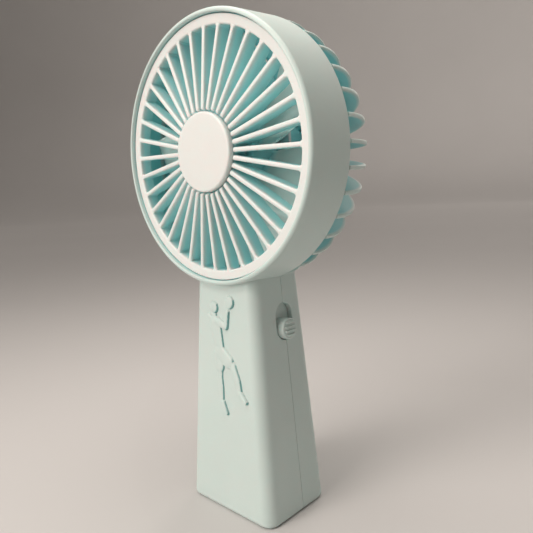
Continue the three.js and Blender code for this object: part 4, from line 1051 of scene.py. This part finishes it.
def buildSocket():
    width, height = socketHigh.x - socketLow.x, socketHigh.z - socketLow.z
    floorY = boxOf("usb_tongue")[0].y - 0.2

    def can(inset):
        return [(u, v + socketZ) for u, v in roundRect(width, height, 1.35, inset)]

    hollow = pillowed(lambda inset: can(inset + fittings["socketWall"]), floorY, socketHigh.y + 1, 0, 0, alongY)
    piece = carve(solid("chargeSocket", pillowed(can, socketLow.y, socketHigh.y, 0.1, 0.12, alongY, 3)),
                  ("DIFFERENCE", hollow))
    return finished(piece, "housing", "usb_socket", steel)


def buildWindow():
    radius, edgeY = lensHigh.x, lensHigh.y - fittings["windowCrown"]
    outline = [(radius * math.sin(a), edgeY + fittings["windowCrown"] * math.cos(a))
               for a in [math.pi / 2 * k / 8 for k in range(9)]]
    outline += [(radius, lensLow.y + 0.1), (radius - 0.1, lensLow.y), (0, lensLow.y)]
    window = solid("indicatorWindow", turned(outline, 48, 0, lensZ))
    return finished(window, "housing", "indicator_lens", slotFinish["clear_plastic"])


buildSocket()
buildWindow()
print("pieces made")

# studio: one pale sheet that curves up all round, two broad warm panels above it,
# and a wide light from in front and from behind
studio = {
    "radius": 3.0, "bend": 0.9, "height": 4.5, "paper": (0.62, 0.616, 0.61), "warmth": (1.0, 0.91, 0.84),
    "panels": {
        "overhead": {"place": (0.0, 0.0, 0.50), "aim": (0.0, 0.01, 0.15), "across": 0.40, "watts": 1.5},
        "forward": {"place": (-0.06, -0.42, 0.50), "aim": (0.0, -0.02, 0.12), "across": 0.26, "watts": 1.3},
    },
    "wide": {
        "front": {"towards": (0.30, 0.92, -0.24), "strength": 1.45, "softness": 30.0},
        "rear": {"towards": (0.30, -0.90, -0.32), "strength": 0.7, "softness": 30.0},
    },
    "sky": (1.0, 0.91, 0.84), "skyStrength": 0.1,
}


def buildStage():
    radius, bend = studio["radius"], studio["bend"]
    outline = [(radius * k / 12, 0.0) for k in range(13)]
    for k in range(1, 17):
        a = math.pi / 2 * k / 16
        outline.append((radius + bend * math.sin(a), bend * (1 - math.cos(a))))
    outline.append((radius + bend, studio["height"]))
    mesh, around, points, faces = bpy.data.meshes.new("paperSweep"), 96, [], []
    for i in range(around):
        a = 2 * math.pi * i / around
        points += [(r * math.cos(a), r * math.sin(a), z) for r, z in outline]
        base, after = i * len(outline), (i + 1) % around * len(outline)
        faces += [(base + k, after + k, after + k + 1, base + k + 1) for k in range(len(outline) - 1)]
    mesh.from_pydata(points, [], faces)
    welded(mesh, 1e-6)
    mesh.shade_smooth()
    sweep = placed("paperSweep", mesh)
    recipe = Recipe("paperSweep", Specular_IOR_Level=0.2)
    tooth = recipe.noise(350, 4, 0.6)
    paper = Vector(studio["paper"])
    tone = recipe.blend(recipe.noise(2.5, 3, 0.5), tuple(paper * 0.97), tuple(paper * 1.03))
    mesh.materials.append(recipe.done(Base_Color=tone, Roughness=0.85 + (tooth - 0.5) * 0.1,
                                      Normal=recipe.bumps((tooth, 0.15, 0.1))))
    sweep.visible_shadow = False  # the lamps stand outside it


def addLamp(name, kind, place, towards):
    data = bpy.data.lights.new(name, kind)
    data.color = studio["warmth"]
    lamp = placed(name, data)
    lamp.rotation_mode = "QUATERNION"
    lamp.rotation_quaternion = Vector(towards).to_track_quat("-Z", "Y")
    lamp.location = place
    lamp.visible_camera = False
    return data


buildStage()
for name, look in studio["panels"].items():
    panel = addLamp(name, "AREA", look["place"], Vector(look["aim"]) - Vector(look["place"]))
    panel.shape, panel.size, panel.energy = "DISK", look["across"], look["watts"]
for name, look in studio["wide"].items():
    wide = addLamp(name, "SUN", -Vector(look["towards"]) * 2, look["towards"])
    wide.energy, wide.angle = look["strength"], math.radians(look["softness"])
world = bpy.data.worlds.new("softSky")
world.use_nodes = True
sky = world.node_tree.nodes["Background"]
sky.inputs["Color"].default_value = (*studio["sky"], 1)
sky.inputs["Strength"].default_value = studio["skyStrength"]
bpy.context.scene.world = world
bpy.context.scene.view_settings.view_transform = "Standard"

view = {
    "place": (154.826, -151.27, 128.764), "yaw": 0.758, "pitch": 0.141, "roll": -0.050,
    "lens": 36.40, "sensor": 36.0,
}


def addCamera():
    yaw, pitch, roll = view["yaw"], view["pitch"], view["roll"]
    forward = Vector((-math.sin(yaw) * math.cos(pitch), math.cos(yaw) * math.cos(pitch), -math.sin(pitch)))
    level = Vector((math.cos(yaw), math.sin(yaw), 0))
    upright = level.cross(forward)
    right = level * math.cos(roll) + upright * math.sin(roll)
    up = upright * math.cos(roll) - level * math.sin(roll)
    data = bpy.data.cameras.new("camera")
    data.lens, data.sensor_width = view["lens"], view["sensor"]
    data.clip_start, data.clip_end = 0.01, 20
    camera = placed("camera", data)
    turn = Matrix((right, up, -forward)).transposed().to_4x4()
    camera.matrix_world = Matrix.Translation(Vector(view["place"]) * mm) @ turn
    bpy.context.scene.camera = camera


addCamera()
print("studio and camera set")
